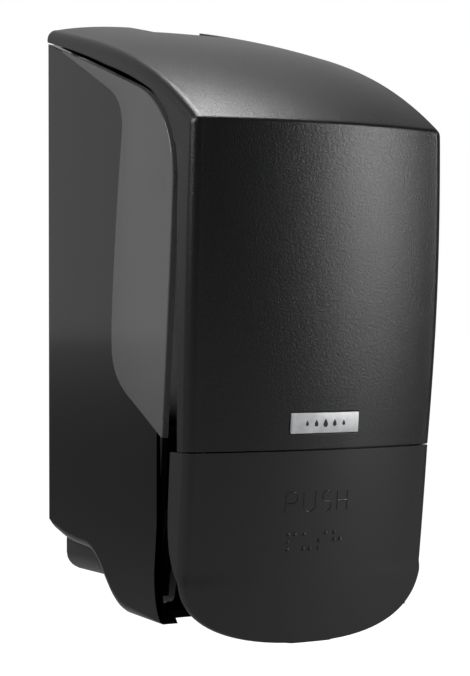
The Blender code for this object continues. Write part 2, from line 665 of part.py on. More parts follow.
add_object("pump_spring", coil(spring_foot, spring_top, COIL_RADIUS, WIRE_RADIUS, SPRING_TURNS, axis),
           steel)
disc_foot = DISC_Z - DISC_THICKNESS
STEM_FOOT = -100.0
neck_r = 3.4
add_object("pump_stem", turned([
    (STEM_BORE, STEM_TOP), (STEM_RADIUS, STEM_TOP), (STEM_RADIUS, DISC_Z), (DISC_RADIUS, DISC_Z),
    (DISC_RADIUS, disc_foot), (STEM_RADIUS, disc_foot), (STEM_RADIUS, disc_foot - 1.6),
    (neck_r, disc_foot - 1.6), (neck_r, STEM_FOOT), (STEM_BORE, STEM_FOOT)], axis), white_plastic,
    (0.0, PUMP_Y, DISC_Z))
tip_top = disc_foot - 1.6 - GAP
add_object("nozzle_tip", turned([
    (neck_r + RUN, tip_top), (NOZZLE_RADIUS, tip_top), (NOZZLE_RADIUS, STEM_FOOT - 1.0),
    (3.6, NOZZLE_FOOT_Z), (1.6, NOZZLE_FOOT_Z), (1.6, STEM_FOOT - GAP),
    (neck_r + RUN, STEM_FOOT - GAP)], axis), milky, (0.0, PUMP_Y, DISC_Z))

# --- rocker: the lever pushes its pad back, its fork lifts the stem ---------------------------------

HUB_RADIUS = 4.2
FORK_Y = PUMP_Y
BUMP_RADIUS = 2.4
bump_z = disc_foot - 0.4 - BUMP_RADIUS
FORK_IN, FORK_OUT = 6.4, 9.4
PAD = (-88.0, -104.0)
PAD_RADIUS = 2.2
py, pz = ROCKER_PIVOT
rocker = add_object("rocker", rod("x", ROCKER_PIVOT, HUB_RADIUS, -LUG_INNER + GAP, LUG_INNER - GAP, 24),
                    black_plastic, (0.0, py, pz))
arm_outline = [(py - 0.5, pz - 3.4), (-67.0, bump_z - 1.9), (FORK_Y + 0.6, bump_z - 1.9),
               (FORK_Y + 1.4, bump_z), (-65.5, bump_z + 0.4), (py + 3.6, pz - 0.6)]
leg_outline = [(py + 3.0, pz - 2.0), (py - 3.4, pz - 1.0), (PAD[0] + 2.4, PAD[1] + 3.0),
               (PAD[0] + 2.0, PAD[1] - 1.0), (PAD[0] + 4.2, PAD[1] - 1.0), (PAD[0] + 6.0, PAD[1] + 5.0)]
weld(rocker, prism(arm_outline, -FORK_OUT, -FORK_IN), prism(arm_outline, FORK_IN, FORK_OUT),
     rod("x", (FORK_Y, bump_z), BUMP_RADIUS, -FORK_OUT - 0.2, -FORK_IN + 0.2),
     rod("x", (FORK_Y, bump_z), BUMP_RADIUS, FORK_IN - 0.2, FORK_OUT + 0.2),
     prism(leg_outline, -5.0, 5.0), rod("x", (PAD[0] + PAD_RADIUS, PAD[1]), PAD_RADIUS, -5.2, 5.2),
     solver="MANIFOLD")
cut(rocker, rod("x", ROCKER_PIVOT, PIN_RADIUS + RUN, -30.0, 30.0), solver="MANIFOLD")
add_object("rocker_axle", rod("x", ROCKER_PIVOT, PIN_RADIUS, -LUG_OUTER - 1.0, LUG_OUTER + 1.0), steel)

# --- front cover -----------------------------------------------------------------------------------

front_cover = add_object("front_cover", loft(cover_rings(0.0, 0.0, False)), charcoal,
                         (0.0, *COVER_HINGE))
cut(front_cover, loft(cover_rings(COVER_WALL, 8.0, True)), solver="MANIFOLD")

# Lock catch: a tab that hangs from the top of the cover
catch = block((-CATCH_FAR, CATCH_Y - CATCH_THICKNESS, CAM_Z - 3.0), (-CATCH_NEAR, CATCH_Y, 95.4))
weld(front_cover, catch, solver="MANIFOLD")
# Key opening at the back edge of the top
cut(front_cover, block((-KEY_HALF, -KEY_BACK, 84.0), (KEY_HALF, 2.0, 110.0)), solver="MANIFOLD")

BADGE_Y = -(front_depth(BADGE_Z) + FRONT_BULGE)
badge_lean = math.radians(front_lean(BADGE_Z))


def badge_shape(grow, back, front):
    shape = block((-BADGE_WIDTH / 2 - grow, front, -BADGE_HEIGHT / 2 - grow),
                  (BADGE_WIDTH / 2 + grow, back, BADGE_HEIGHT / 2 + grow))
    shape.transform(Matrix.Translation((0.0, BADGE_Y, BADGE_Z))
                    @ Matrix.Rotation(badge_lean, 4, "X"))
    return shape


badge_back = BADGE_THICKNESS - BADGE_PROUD
cut(front_cover, badge_shape(GAP, badge_back + GAP, -5.0), solver="MANIFOLD")
add_object("name_plate", badge_shape(0.0, badge_back, -BADGE_PROUD), silver, (0.0, *COVER_HINGE))

# --- cover frame: two rails from the crease down to the hinge eyes, and two cross bars ----------------

RAIL_OUT = 43.2
RAIL_IN = RAIL_OUT - RAIL_THICKNESS
hy, hz = COVER_HINGE
ly, lz = LEVER_PIVOT


def rail_front(z):
    return -(front_depth(z) - COVER_WALL - 1.0)


rail_outline = [(rail_front(z), z) for z in (38.0, 12.0, -14.0, lz + 4.0)]
rail_outline.reverse()
rail_outline += [(ly - 0.5, 38.0), (ly + 2.0, -10.0), (ly + 4.4, lz), (ly + 8.0, -62.0),
                 (hy + 3.2, hz + 8.0)]
rail_outline += arc(COVER_HINGE, EYE_RADIUS - 0.6, 30, -160, 10)
rail_outline += [(hy - 5.0, hz + 6.0), (ly + 0.5, -62.0), (ly - 3.9, lz - 1.0)]
cover_frame = add_object("cover_frame", prism(rail_outline, -RAIL_OUT, -RAIL_IN), black_plastic,
                         (0.0, *COVER_HINGE))
BAR_SPOTS = (30.0, -30.0)
BAR_FRONT = 6.9 - FRONT_DEPTH
BAR_BACK = BAR_FRONT + 2.4
weld(cover_frame, prism(rail_outline, RAIL_IN, RAIL_OUT),
     *[block((-RAIL_OUT + 0.5, BAR_FRONT, z - 6.0), (RAIL_OUT - 0.5, BAR_BACK, z + 6.0))
       for z in BAR_SPOTS], solver="MANIFOLD")
cut(cover_frame, rod("x", COVER_HINGE, PIN_RADIUS + RUN, -60.0, 60.0),
    rod("x", LEVER_PIVOT, PIN_RADIUS + RUN, -60.0, 60.0), solver="MANIFOLD")
FRAME_SCREW_SPOTS = [(sx * 24.0, z) for z in BAR_SPOTS for sx in (-1, 1)]
cut(cover_frame, *[rod("y", spot, SCREW_RADIUS + RUN, BAR_FRONT - 4.0, BAR_BACK + 3.0)
                   for spot in FRAME_SCREW_SPOTS], solver="MANIFOLD")
for spot in FRAME_SCREW_SPOTS:
    boss_front = -front_depth(spot[1]) - 2.6
    weld(front_cover, rod("y", spot, 3.4, BAR_FRONT - GAP, boss_front), solver="MANIFOLD")
cut(front_cover, *[rod("y", spot, SCREW_RADIUS + RUN, BAR_FRONT - 5.6, BAR_BACK + 3.0)
                   for spot in FRAME_SCREW_SPOTS], solver="MANIFOLD")
for number, spot in enumerate(FRAME_SCREW_SPOTS, 1):
    screw_y(f"frame_screw_{number}", spot, BAR_BACK + GAP, 7.2, way=-1.0)

# --- hinge pins of the cover and pivot pins of the lever --------------------------------------------

for side, label in ((-1, "left"), (1, "right")):
    near, far = sorted((side * (RAIL_IN - 0.8), side * (HALF - 1.2 - GAP)))
    add_object(f"hinge_pin_{label}", rod("x", COVER_HINGE, PIN_RADIUS, near, far), steel,
               (0.0, *COVER_HINGE))

ARM_IN = RAIL_OUT + GAP
ARM_OUT = ARM_IN + ARM_THICKNESS
for side, label in ((-1, "left"), (1, "right")):
    near, far = sorted((side * (RAIL_IN - 0.8), side * ARM_OUT))
    add_object(f"lever_pin_{label}", rod("x", LEVER_PIVOT, PIN_RADIUS, near, far), steel,
               (0.0, *LEVER_PIVOT))

# --- push lever -------------------------------------------------------------------------------------

LEVER_TOP_Z = SEAM_Z - SEAM_GAP
LEVER_CORNER = 26.0
LEVER_SIDE_DEPTH = 12.0
LEVER_FOOT_SIDE = 2.8
LEVER_WALL = 2.2


def lever_half_width(z, inset=0.0):
    """Straight sides, then a rounded foot that is a quarter of a superellipse on each side."""
    full = cover_half_width(z) - inset
    turn_z = LEVER_FOOT_Z + LEVER_CORNER
    if z >= turn_z:
        return full
    share = min(0.999, (turn_z - z) / (LEVER_CORNER - inset))
    power = 2.5
    return full * (1 - share ** power) ** (1 / power)


def lever_depth(z):
    """Depth of the lever's turned side: full beside the shell, shallow round the foot."""
    share = min(1.0, max(0.0, (LEVER_TOP_Z - z) / (LEVER_TOP_Z + 100.0)))
    return LEVER_SIDE_DEPTH - (LEVER_SIDE_DEPTH - LEVER_FOOT_SIDE) * share ** 5


def lever_rings(inset, extra_depth, extend):
    foot = LEVER_FOOT_Z + inset
    turn_z = LEVER_FOOT_Z + LEVER_CORNER
    levels = [LEVER_TOP_Z + (turn_z - LEVER_TOP_Z) * i / 6 for i in range(7)]
    levels += [turn_z + (foot - turn_z) * math.sin(math.radians(90 * i / 10)) for i in range(1, 11)]
    if extend:
        levels = [LEVER_TOP_Z + 8.0] + levels
    rings = []
    for z in levels:
        wide = max(9.0, lever_half_width(z, inset)) + inset
        side = lever_depth(z)
        corner = min(CORNER_RADIUS, side - 0.3, wide / 3)
        crown = FRONT_BULGE * (wide / cover_half_width(z)) ** 2
        ahead = front_depth(z) + FRONT_BULGE - crown
        section = front_section(wide, side + extra_depth, corner, inset)
        rings.append([(x, -ahead - n - crown * (1.0 - (1.0 - rise) ** 2), z)
                      for x, n, rise in section])
    return rings


push_lever = add_object("push_lever", loft(lever_rings(0.0, 0.0, False)), charcoal,
                        (0.0, *LEVER_PIVOT))
cut(push_lever, loft(lever_rings(LEVER_WALL, 8.0, True)), solver="MANIFOLD")
lever_arm = arc(LEVER_PIVOT, 3.8, 180, 0, 10)
lever_arm += [(ly + 3.8, -60.0), (ly + 2.6, -72.0), (ly - 3.0, -72.0), (ly - 3.6, -63.0),
              (ly - 2.4, -57.0)]
for side in (-1, 1):
    near, far = sorted((side * ARM_IN, side * ARM_OUT))
    weld(push_lever, prism(lever_arm, near, far), solver="MANIFOLD")
    near, far = sorted((side * (ARM_OUT - 0.4), side * (cover_half_width(-64.0) - 0.8)))
    bridge = [(ly + 1.0, -61.5), (ly + 1.0, -71.0), (ly - 2.6, -71.0), (ly - 2.6, -61.5)]
    weld(push_lever, prism(bridge, near, far), solver="MANIFOLD")
# Tongue that closes the seam from behind, along the lever's top edge


def tongue_ring(z, front, back):
    """A strip that follows the inside of the front, between two distances from its face."""
    half = 40.0
    flat = cover_half_width(z) - CORNER_RADIUS
    across = [half * (i / 5.0 - 1.0) for i in range(11)]
    face = [-front_depth(z) - FRONT_BULGE * (1.0 - (x / flat) ** 2) for x in across]
    ring = [(x, y + front, z) for x, y in zip(across, face)]
    return ring + [(x, y + back, z) for x, y in reversed(list(zip(across, face)))]


tongue = COVER_WALL + 0.4
weld(push_lever, loft([tongue_ring(LEVER_TOP_Z - 5.0, LEVER_WALL - 0.8, tongue + 1.4),
                       tongue_ring(LEVER_TOP_Z - 1.2, LEVER_WALL - 0.8, tongue + 1.4)]),
     loft([tongue_ring(LEVER_TOP_Z - 1.6, tongue, tongue + 1.4),
           tongue_ring(LEVER_TOP_Z + 3.2, tongue, tongue + 1.4)]), solver="MANIFOLD")
rib = block((-7.0, -front_depth(PAD[1]) - FRONT_BULGE + LEVER_WALL / 2, PAD[1] - 1.0),
            (7.0, PAD[0] - 0.4, PAD[1] + 1.0))
weld(push_lever, rib, solver="MANIFOLD")
cut(push_lever, rod("x", LEVER_PIVOT, PIN_RADIUS + RUN, -60.0, 60.0), solver="MANIFOLD")

# --- lock: housing on the shell's back, barrel with key slot, cam and its screw ------------------------

lock_low = CAM_Z + CAM_THICKNESS + 0.8
lock_high = 82.0
lock_housing = add_object("lock_housing",
                          block((-15.0, -22.5, lock_low), (15.0, CHASSIS_BACK, lock_high), 1.0, 2),
                          black_plastic)
cut(lock_housing, rod("z", (0.0, LOCK_Y), BARREL_RADIUS + RUN, lock_low - 1, lock_high + 1, 28))
barrel_foot = CAM_Z + CAM_THICKNESS + GAP
barrel = add_object("lock_barrel", turned([
    (0.0, barrel_foot), (BARREL_RADIUS, barrel_foot), (BARREL_RADIUS, lock_high + GAP),
    (BARREL_RADIUS + 1.4, lock_high + GAP), (BARREL_RADIUS + 1.4, lock_high + 2.2),
    (BARREL_RADIUS + 0.8, lock_high + 2.8), (0.0, lock_high + 2.8)], (0.0, LOCK_Y)), steel,
    (0.0, LOCK_Y, CAM_Z))
cut(barrel, block((-0.9, LOCK_Y - 3.8, lock_high - 4.0), (0.9, LOCK_Y + 3.8, lock_high + 5.0)),
    rod("z", (0.0, LOCK_Y), SCREW_RADIUS + RUN, barrel_foot - 1, barrel_foot + 6.0, 16),
    solver="MANIFOLD")
cam_outline = [(4.8 * math.cos(math.radians(a)), 4.8 * math.sin(math.radians(a)))
               for a in range(-55, 56, 11)]
cam_half = CAM_WIDTH / 2
cam_outline += [(2.0, cam_half + 1.0), (-CAM_REACH + 2, cam_half), (-CAM_REACH, cam_half - 2),
                (-CAM_REACH, -cam_half + 2), (-CAM_REACH + 2, -cam_half), (2.0, -cam_half - 1.0)]
cam = add_object("lock_cam", loft([[(-y, LOCK_Y + x, z) for x, y in cam_outline]
                                   for z in (CAM_Z, CAM_Z + CAM_THICKNESS)]), steel,
                 (0.0, LOCK_Y, CAM_Z))
cut(cam, rod("z", (0.0, LOCK_Y), SCREW_RADIUS + RUN, CAM_Z - 1, CAM_Z + CAM_THICKNESS + 1, 16))
add_object("cam_screw", turned([(0.0, CAM_Z - GAP - 1.6), (2.4, CAM_Z - GAP - 1.6), (2.9, CAM_Z - GAP - 0.8),
                                (2.9, CAM_Z - GAP), (SCREW_RADIUS, CAM_Z - GAP),
                                (SCREW_RADIUS, barrel_foot + 5.0), (0.0, barrel_foot + 5.0)],
                               (0.0, LOCK_Y), 16), steel, (0.0, LOCK_Y, CAM_Z))
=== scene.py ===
"""Wall mounted soap dispenser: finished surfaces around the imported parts, built up from the wall."""
import math

import bmesh
import bpy
from mathutils import Matrix, Vector


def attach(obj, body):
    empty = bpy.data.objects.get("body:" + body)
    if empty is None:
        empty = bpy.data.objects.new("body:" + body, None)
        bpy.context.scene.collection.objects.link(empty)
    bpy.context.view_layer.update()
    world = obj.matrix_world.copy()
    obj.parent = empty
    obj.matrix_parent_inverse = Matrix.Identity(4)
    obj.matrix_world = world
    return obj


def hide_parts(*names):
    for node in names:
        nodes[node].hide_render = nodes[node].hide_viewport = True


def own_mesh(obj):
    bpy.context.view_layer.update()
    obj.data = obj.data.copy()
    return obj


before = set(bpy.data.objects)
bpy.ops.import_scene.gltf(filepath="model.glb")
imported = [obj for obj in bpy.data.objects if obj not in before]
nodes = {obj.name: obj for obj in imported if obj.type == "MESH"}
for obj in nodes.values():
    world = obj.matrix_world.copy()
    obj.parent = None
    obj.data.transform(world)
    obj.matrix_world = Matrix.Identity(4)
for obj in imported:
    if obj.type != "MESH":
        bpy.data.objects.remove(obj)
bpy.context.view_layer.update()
MM = 0.001

# --- Wall plate ------------------------------------------------------------------------------
# The flat plate that is screwed to the wall first. It is pressed from 2.5 mm zinc plated sheet
# steel, with four clearance holes for the wall screws and three threaded ones for the shell.


def new_finish(name):
    """An empty Principled finish: returns the material, its shader and a function that adds nodes."""
    finish = bpy.data.materials.new(name)
    finish.use_nodes = True
    tree = finish.node_tree
    shader = tree.nodes["Principled BSDF"]

    def add(kind, **settings):
        node = tree.nodes.new(kind)
        for key, value in settings.items():
            if hasattr(node, key):
                setattr(node, key, value)
            else:
                node.inputs[key].default_value = value
        return node

    return finish, shader, add


def relief(finish, shader, add, height, strength, depth):
    """Join a height output to the shader's normal as a bump of the given real depth."""
    bump = add("ShaderNodeBump", Strength=strength, Distance=depth)
    finish.node_tree.links.new(height, bump.inputs["Height"])
    finish.node_tree.links.new(bump.outputs["Normal"], shader.inputs["Normal"])


def sheet_metal(name, colour, roughness, spangle):
    """Plated steel: cloudy zinc spangle and faint rolling lines along Y."""
    rolling_lines = (400.0, 60.0, 400.0)
    finish, shader, add = new_finish(name)
    link = finish.node_tree.links.new
    place = add("ShaderNodeTexCoord")
    cloud = add("ShaderNodeTexNoise", Scale=spangle, Detail=4.0)
    link(place.outputs["Object"], cloud.inputs["Vector"])
    tint = add("ShaderNodeValToRGB")
    tint.color_ramp.elements[0].color = (*[c * 0.78 for c in colour], 1.0)
    tint.color_ramp.elements[0].position = 0.35
    tint.color_ramp.elements[1].color = (*colour, 1.0)
    tint.color_ramp.elements[1].position = 0.7
    link(cloud.outputs["Fac"], tint.inputs["Fac"])
    link(tint.outputs["Color"], shader.inputs["Base Color"])
    stretch = add("ShaderNodeMapping")
    stretch.inputs["Scale"].default_value = rolling_lines
    link(place.outputs["Object"], stretch.inputs["Vector"])
    lines = add("ShaderNodeTexNoise", Scale=6.0, Detail=3.0)
    link(stretch.outputs["Vector"], lines.inputs["Vector"])
    spread = add("ShaderNodeMapRange")
    spread.inputs["To Min"].default_value = roughness - 0.08
    spread.inputs["To Max"].default_value = roughness + 0.1
    link(lines.outputs["Fac"], spread.inputs["Value"])
    link(spread.outputs["Result"], shader.inputs["Roughness"])
    shader.inputs["Metallic"].default_value = 1.0
    relief(finish, shader, add, lines.outputs["Fac"], 0.25, 0.00004)
    return finish


def dress(name, finish):
    """Give a CAD node its finish on every slot."""
    slots = nodes[name].data.materials
    if len(slots) == 0:
        slots.append(finish)
    for index in range(len(slots)):
        slots[index] = finish


zinc_sheet = sheet_metal("zinc_plated_sheet", (0.52, 0.53, 0.54), 0.38, 90.0)
dress("wall_plate", zinc_sheet)

# --- Rear shell --------------------------------------------------------------------------------
# The back of the body: one glossy near-black moulding with a flat back, two side walls and an
# S-shaped foot. Its outer corner is rolled wide under the foot and only just broken elsewhere.

SHELL_HALF = 49.0
SHELL_WALL = 2.5
SHELL_INNER = SHELL_HALF - SHELL_WALL
SHELL_TOP = 89.3
SHELL_BACK_Y = -0.3
PLATE_POCKET_Y = -2.8
PANEL_TOP_FRONT = (-98.5, 34.0)
PANEL_FOOT_Y = -86.4
SHELL_TOE = (-91.0, -114.5)
FOOT_BACK_Z = -92.0


def curve_points(start, pull_a, pull_b, end, steps):
    """Points on a cubic curve through start and end, drawn towards the two pulls."""
    points = []
    for step in range(steps + 1):
        t = step / steps
        weights = ((1 - t) ** 3, 3 * t * (1 - t) ** 2, 3 * t * t * (1 - t), t ** 3)
        points.append(tuple(sum(w * p[axis] for w, p in zip(weights, (start, pull_a, pull_b, end)))
                            for axis in range(2)))
    return points


def panel_top_edge():
    """Under the cover's flange, then round the top front corner."""
    back = curve_points((SHELL_BACK_Y, SHELL_TOP), (-24.0, SHELL_TOP - 7.2),
                        (-48.0, SHELL_TOP - 14.8), (-72.0, SHELL_TOP - 22.8), 12)
    return back + curve_points(back[-1], (-88.0, SHELL_TOP - 28.0), (PANEL_TOP_FRONT[0], 50.0),
                               PANEL_TOP_FRONT, 24)[1:]


def panel_front_edge():
    """Upright above, leaning back towards the foot."""
    top = PANEL_TOP_FRONT[1]
    edge = []
    for step in range(24):
        z = 28.0 - 120.0 * step / 23
        lean = ((top - z) / (top + 92.0)) ** 1.15
        edge.append((PANEL_TOP_FRONT[0] + (PANEL_FOOT_Y - PANEL_TOP_FRONT[0]) * lean, z))
    return edge


def foot_edge(lift=0.0):
    """Level at the toe, an S-shaped rise, then level again to the wall."""
    front, back = SHELL_TOE[1] + lift, FOOT_BACK_Z + lift
    rise = curve_points((-66.0, front), (-48.0, front), (-45.0, back - 5.0), (-32.0, back - 3.2), 30)
    return rise + curve_points((-26.0, back - 2.8), (-16.0, back - 2.2), (-4.0, back),
                               (SHELL_BACK_Y, back + 5.0), 12)


def toe_edge():
    return curve_points((PANEL_FOOT_Y, -98.0), (PANEL_FOOT_Y, -107.0), (-88.0, -112.0), SHELL_TOE, 12)


def inward_normals(outline):
    """Unit normals of a closed outline, pointing into it."""
    area = sum(a[0] * b[1] - b[0] * a[1] for a, b in zip(outline, outline[1:] + outline[:1]))
    side = 1.0 if area > 0 else -1.0
    normals = []
    for before, after in zip(outline[-1:] + outline[:-1], outline[1:] + outline[:1]):
        along = Vector((after[0] - before[0], after[1] - before[1])).normalized()
        normals.append((-along.y * side, along.x * side))
    return normals


def skin(rings):
    """Join rings of equal length into one surface, in millimetres, with filled ends."""
    shape = bmesh.new()
    rows = [[shape.verts.new(point) for point in ring] for ring in rings]
    for row, following in zip(rows, rows[1:]):
        for i in range(len(row)):
            j = (i + 1) % len(row)
            shape.faces.new((row[i], row[j], following[j], following[i]))
    for end in (rows[0], rows[-1]):
        shape.faces.new(end)
    return shape


def slab(outline, x_near, x_far):
    """A flat-sided solid of an outline of (y, z) points between two x planes."""
    shape = skin([[(x, y, z) for y, z in outline] for x in (x_near, x_far)])
    bmesh.ops.triangulate(shape, faces=[f for f in shape.faces if len(f.verts) > 4])
    return shape


def box_shape(low, high, rounding=0.0, segments=4):
    """A box between two corners, with its edges rounded where asked."""
    shape = bmesh.new()
    size = [b - a for a, b in zip(low, high)]
    middle = [(a + b) / 2 for a, b in zip(low, high)]
    bmesh.ops.create_cube(shape, size=1.0,
                          matrix=Matrix.Translation(middle) @ Matrix.Diagonal((*size, 1.0)))
    if rounding:
        bmesh.ops.bevel(shape, geom=shape.edges[:], offset=rounding, offset_type="OFFSET",
                        segments=segments, profile=0.5, affect="EDGES")
    return shape


def round_bar(axis, place, radius, start, end):
    """A cylinder along 'x', 'y' or 'z'; place is its other two coordinates."""
    sides = 32
    rings = []
    for along in (start, end):
        ring = []
        for i in range(sides):
            turn = math.tau * i / sides
            a, b = place[0] + radius * math.cos(turn), place[1] + radius * math.sin(turn)
            ring.append({"x": (along, a, b), "y": (a, along, b), "z": (a, b, along)}[axis])
        rings.append(ring)
    return skin(rings)


def piece(name, shape, finish, smooth_below=35.0):
    """Turn a shape in millimetres into an object with its finish, facing outwards."""
    bmesh.ops.recalc_face_normals(shape, faces=shape.faces)
    if shape.calc_volume(signed=True) < 0:
        bmesh.ops.reverse_faces(shape, faces=shape.faces)
    shape.transform(Matrix.Scale(MM, 4))
    mesh = bpy.data.meshes.new(name)
    shape.to_mesh(mesh)
    shape.free()
    mesh.materials.append(finish)
    mesh.shade_smooth()
    mesh.set_sharp_from_angle(angle=math.radians(smooth_below))
    made = bpy.data.objects.new(name, mesh)
    bpy.context.scene.collection.objects.link(made)
    return made


def trim(body, tools, operation="DIFFERENCE", smooth_below=35.0):
    """Cut each tool out of a piece, or join it on, and drop the tool."""
    for tool in tools:
        helper = piece("trimming_tool", tool, body.data.materials[0])
        step = body.modifiers.new("trim", "BOOLEAN")
        step.operation = operation
        step.solver = "MANIFOLD"
        step.object = helper
        bpy.context.view_layer.update()
        graph = bpy.context.evaluated_depsgraph_get()
        body.data = bpy.data.meshes.new_from_object(body.evaluated_get(graph))
        body.modifiers.remove(step)
        bpy.data.objects.remove(helper, do_unlink=True)
    body.data.shade_smooth()
    body.data.set_sharp_from_angle(angle=math.radians(smooth_below))
    return body


def even_normals(body):
    """Weight normals by face area, so that flat faces shade flat right up to their rolled edges."""
    even = body.modifiers.new("even_normals", "WEIGHTED_NORMAL")
    even.keep_sharp = True


def break_edges(body, radius_mm, segments=2, sharper_than=40.0):
    """Round every sharp edge of a piece to the given radius."""
    step = body.modifiers.new("broken_edges", "BEVEL")
    step.width = radius_mm * MM
    step.segments = segments
    step.limit_method = "ANGLE"
    step.angle_limit = math.radians(sharper_than)
    step.harden_normals = False
    step.use_clamp_overlap = True
    even_normals(body)
    return body


def fit(body_piece, body, slot, *stands_for):
    """Put a piece on its body, and hide the parts that it stands for. The slot is not used."""
    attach(body_piece, body)
    if stands_for:
        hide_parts(*stands_for)
    return body_piece


def rolled_slab(outline, rolls, x_inner, x_outer):
    """A slab whose outer rim is rolled over by its own radius at each point of the outline."""
    steps = 6
    normals = inward_normals(outline)
    way = 1.0 if x_outer > x_inner else -1.0
    rings = [[(x_inner, y, z) for y, z in outline]]
    for step in range(steps + 1):
        turn = math.radians(90.0 * step / steps)
        ring = []
        for (y, z), (ny, nz), roll in zip(outline, normals, rolls):
            inset = roll * (1 - math.cos(turn))
            x = x_outer - way * roll * (1 - math.sin(turn))
            ring.append((x, y + ny * inset, z + nz * inset))
        rings.append(ring)
    return rings


def moulded_plastic(name, colour, roughness, grain_mm, depth, strength, painted_grain_shading):
    """Injection moulded plastic: grain from the tool, and slight wear in its gloss.

    The grain's size is in millimetres and its depth in metres; painted_grain_shading is how far
    the colour is darkened in the grain's hollows as painted shade and lightened on its tips as painted
    highlight.
    """
    finish, shader, add = new_finish(name)
    link = finish.node_tree.links.new
    place = add("ShaderNodeTexCoord")
    grain = add("ShaderNodeTexNoise", Scale=1000.0 / grain_mm, Detail=3.0, Roughness=0.6)
    link(place.outputs["Object"], grain.inputs["Vector"])
    cloud = add("ShaderNodeTexNoise", Scale=18.0, Detail=3.0)
    link(place.outputs["Object"], cloud.inputs["Vector"])
    gloss = add("ShaderNodeMapRange")
    gloss.inputs["To Min"].default_value = roughness * 0.88
    gloss.inputs["To Max"].default_value = roughness * 1.12
    link(cloud.outputs["Fac"], gloss.inputs["Value"])
    link(gloss.outputs["Result"], shader.inputs["Roughness"])
    # Painted shade and highlight on the grain: the colour is darker in its hollows and paler on its tips
    tint = add("ShaderNodeValToRGB")
    tint.color_ramp.elements[0].position = 0.35
    tint.color_ramp.elements[0].color = (*[c * (1 - painted_grain_shading) for c in colour], 1.0)
    tint.color_ramp.elements[1].position = 0.7
    tint.color_ramp.elements[1].color = (*[c * (1 + painted_grain_shading * 1.6) for c in colour], 1.0)
    link(grain.outputs["Fac"], tint.inputs["Fac"])
    link(tint.outputs["Color"], shader.inputs["Base Color"])
    relief(finish, shader, add, grain.outputs["Fac"], strength, depth)
    return finish


gloss_black = moulded_plastic("gloss_black_moulding", (0.0045, 0.0045, 0.005), 0.09, 1.5, 0.000004,
                              0.05, 0.1)
TOP_EDGE, FRONT_EDGE, TOE_EDGE, FOOT_EDGE = (panel_top_edge(), panel_front_edge(), toe_edge(),
                                             foot_edge())
shell_outline = TOP_EDGE + FRONT_EDGE + TOE_EDGE + FOOT_EDGE
FINE_ROLL, FOOT_ROLL, BACK_ROLL = 0.45, 3.2, 1.0


def roll_at(y, z):
    """Wide under the foot, fine along the front and the top, 1 mm at the back."""
    if z < -80.0:
        ahead = min(1.0, max(0.0, (y + 90.0) / 16.0))
        behind = min(1.0, max(0.0, -y / 8.0))
        low = min(1.0, max(0.0, (-80.0 - z) / 6.0))
        return FINE_ROLL + (FOOT_ROLL - FINE_ROLL) * ahead * low * (0.3 + 0.7 * behind)
    return FINE_ROLL if y < -6.0 else BACK_ROLL


shell_rolls = [roll_at(y, z) if i >= len(TOP_EDGE) + len(FRONT_EDGE) else FINE_ROLL
               for i, (y, z) in enumerate(shell_outline)]
left_rings = rolled_slab(shell_outline, shell_rolls, 0.0, -SHELL_HALF)
right_rings = rolled_slab(shell_outline, shell_rolls, 0.0, SHELL_HALF)
shell_solid = skin(left_rings[::-1] + right_rings[1:])
bmesh.ops.triangulate(shell_solid, faces=[f for f in shell_solid.faces if len(f.verts) > 4])
rear_shell = piece("rear_shell_moulding", shell_solid, gloss_black)
INSIDE_BACK_Y = PLATE_POCKET_Y - SHELL_WALL
cavity = [(INSIDE_BACK_Y, 120.0), (-130.0, 120.0), (-130.0, SHELL_TOE[1] + SHELL_WALL)]
cavity += [p for p in foot_edge(SHELL_WALL) if p[0] < INSIDE_BACK_Y - 4]
cavity.append((INSIDE_BACK_Y, FOOT_BACK_Z + SHELL_WALL))


def window_seam():
    """Where the smoked window meets the black of the side wall, from the top edge to the front."""
    upper = [(-10.0, 95.0), (-12.5, 84.8), (-32.0, 76.2)]
    corner = curve_points((-50.0, 68.0), (-58.0, 64.4), (-61.8, 60.0), (-61.4, 52.2), 14)
    lower = curve_points((-58.0, 30.0), (-55.5, 10.0), (-53.2, -8.0), (-53.2, -20.0), 10)
    foot = curve_points((-53.4, -24.0), (-54.4, -33.0), (-62.0, -37.6), (-69.0, -41.0), 14)
    return upper + corner + lower + foot + [(-88.0, -51.2), (-130.0, -73.7)]


window_region = window_seam() + [(-130.0, 120.0), (-10.0, 120.0)]
CHASSIS_HALF, CHASSIS_FRONT = 44.0, -37.5
LOOSE = 0.3
HINGE, BOSS_RADIUS, BOSS_IN, PIN_BORE = (-81.0, -105.0), 4.3, 43.5, 2.2
POCKET_HALF, POCKET_HALF_HEIGHT = 32.3, 65.3
window_openings = [slab(window_region, -SHELL_HALF - 1, -SHELL_INNER + 1),
                   slab(window_region, SHELL_INNER - 1, SHELL_HALF + 1)]
inside = slab(cavity, -SHELL_INNER, SHELL_INNER)
plate_pocket = box_shape((-POCKET_HALF, PLATE_POCKET_Y, -POCKET_HALF_HEIGHT),
                         (POCKET_HALF, 5.0, POCKET_HALF_HEIGHT))
# Through the floor: for the cover's foot, for the rocker and the lever's rib, for the nozzle
# and for the chassis
floor_openings = [box_shape((-43.0, -130.0, -125.0), (43.0, HINGE[0] + 1.0, -104.0)),
                  box_shape((-20.0, HINGE[0], -125.0), (20.0, -63.0, -104.0)),
                  box_shape((-13.0, -65.0, -125.0), (13.0, CHASSIS_FRONT - 2.0, -84.0)),
                  box_shape((-CHASSIS_HALF - LOOSE, CHASSIS_FRONT - LOOSE, -125.0),
                            (CHASSIS_HALF + LOOSE, INSIDE_BACK_Y, -80.0))]
trim(rear_shell, window_openings + [inside, plate_pocket] + floor_openings)
hinge_bosses = [round_bar("x", HINGE, BOSS_RADIUS, side * BOSS_IN, side * (SHELL_INNER + 1))
                for side in (-1, 1)]
upstand = box_shape((-40.0, INSIDE_BACK_Y, SHELL_TOP - 5.0), (40.0, PLATE_POCKET_Y, 91.4))
trim(rear_shell, hinge_bosses + [upstand], "UNION")
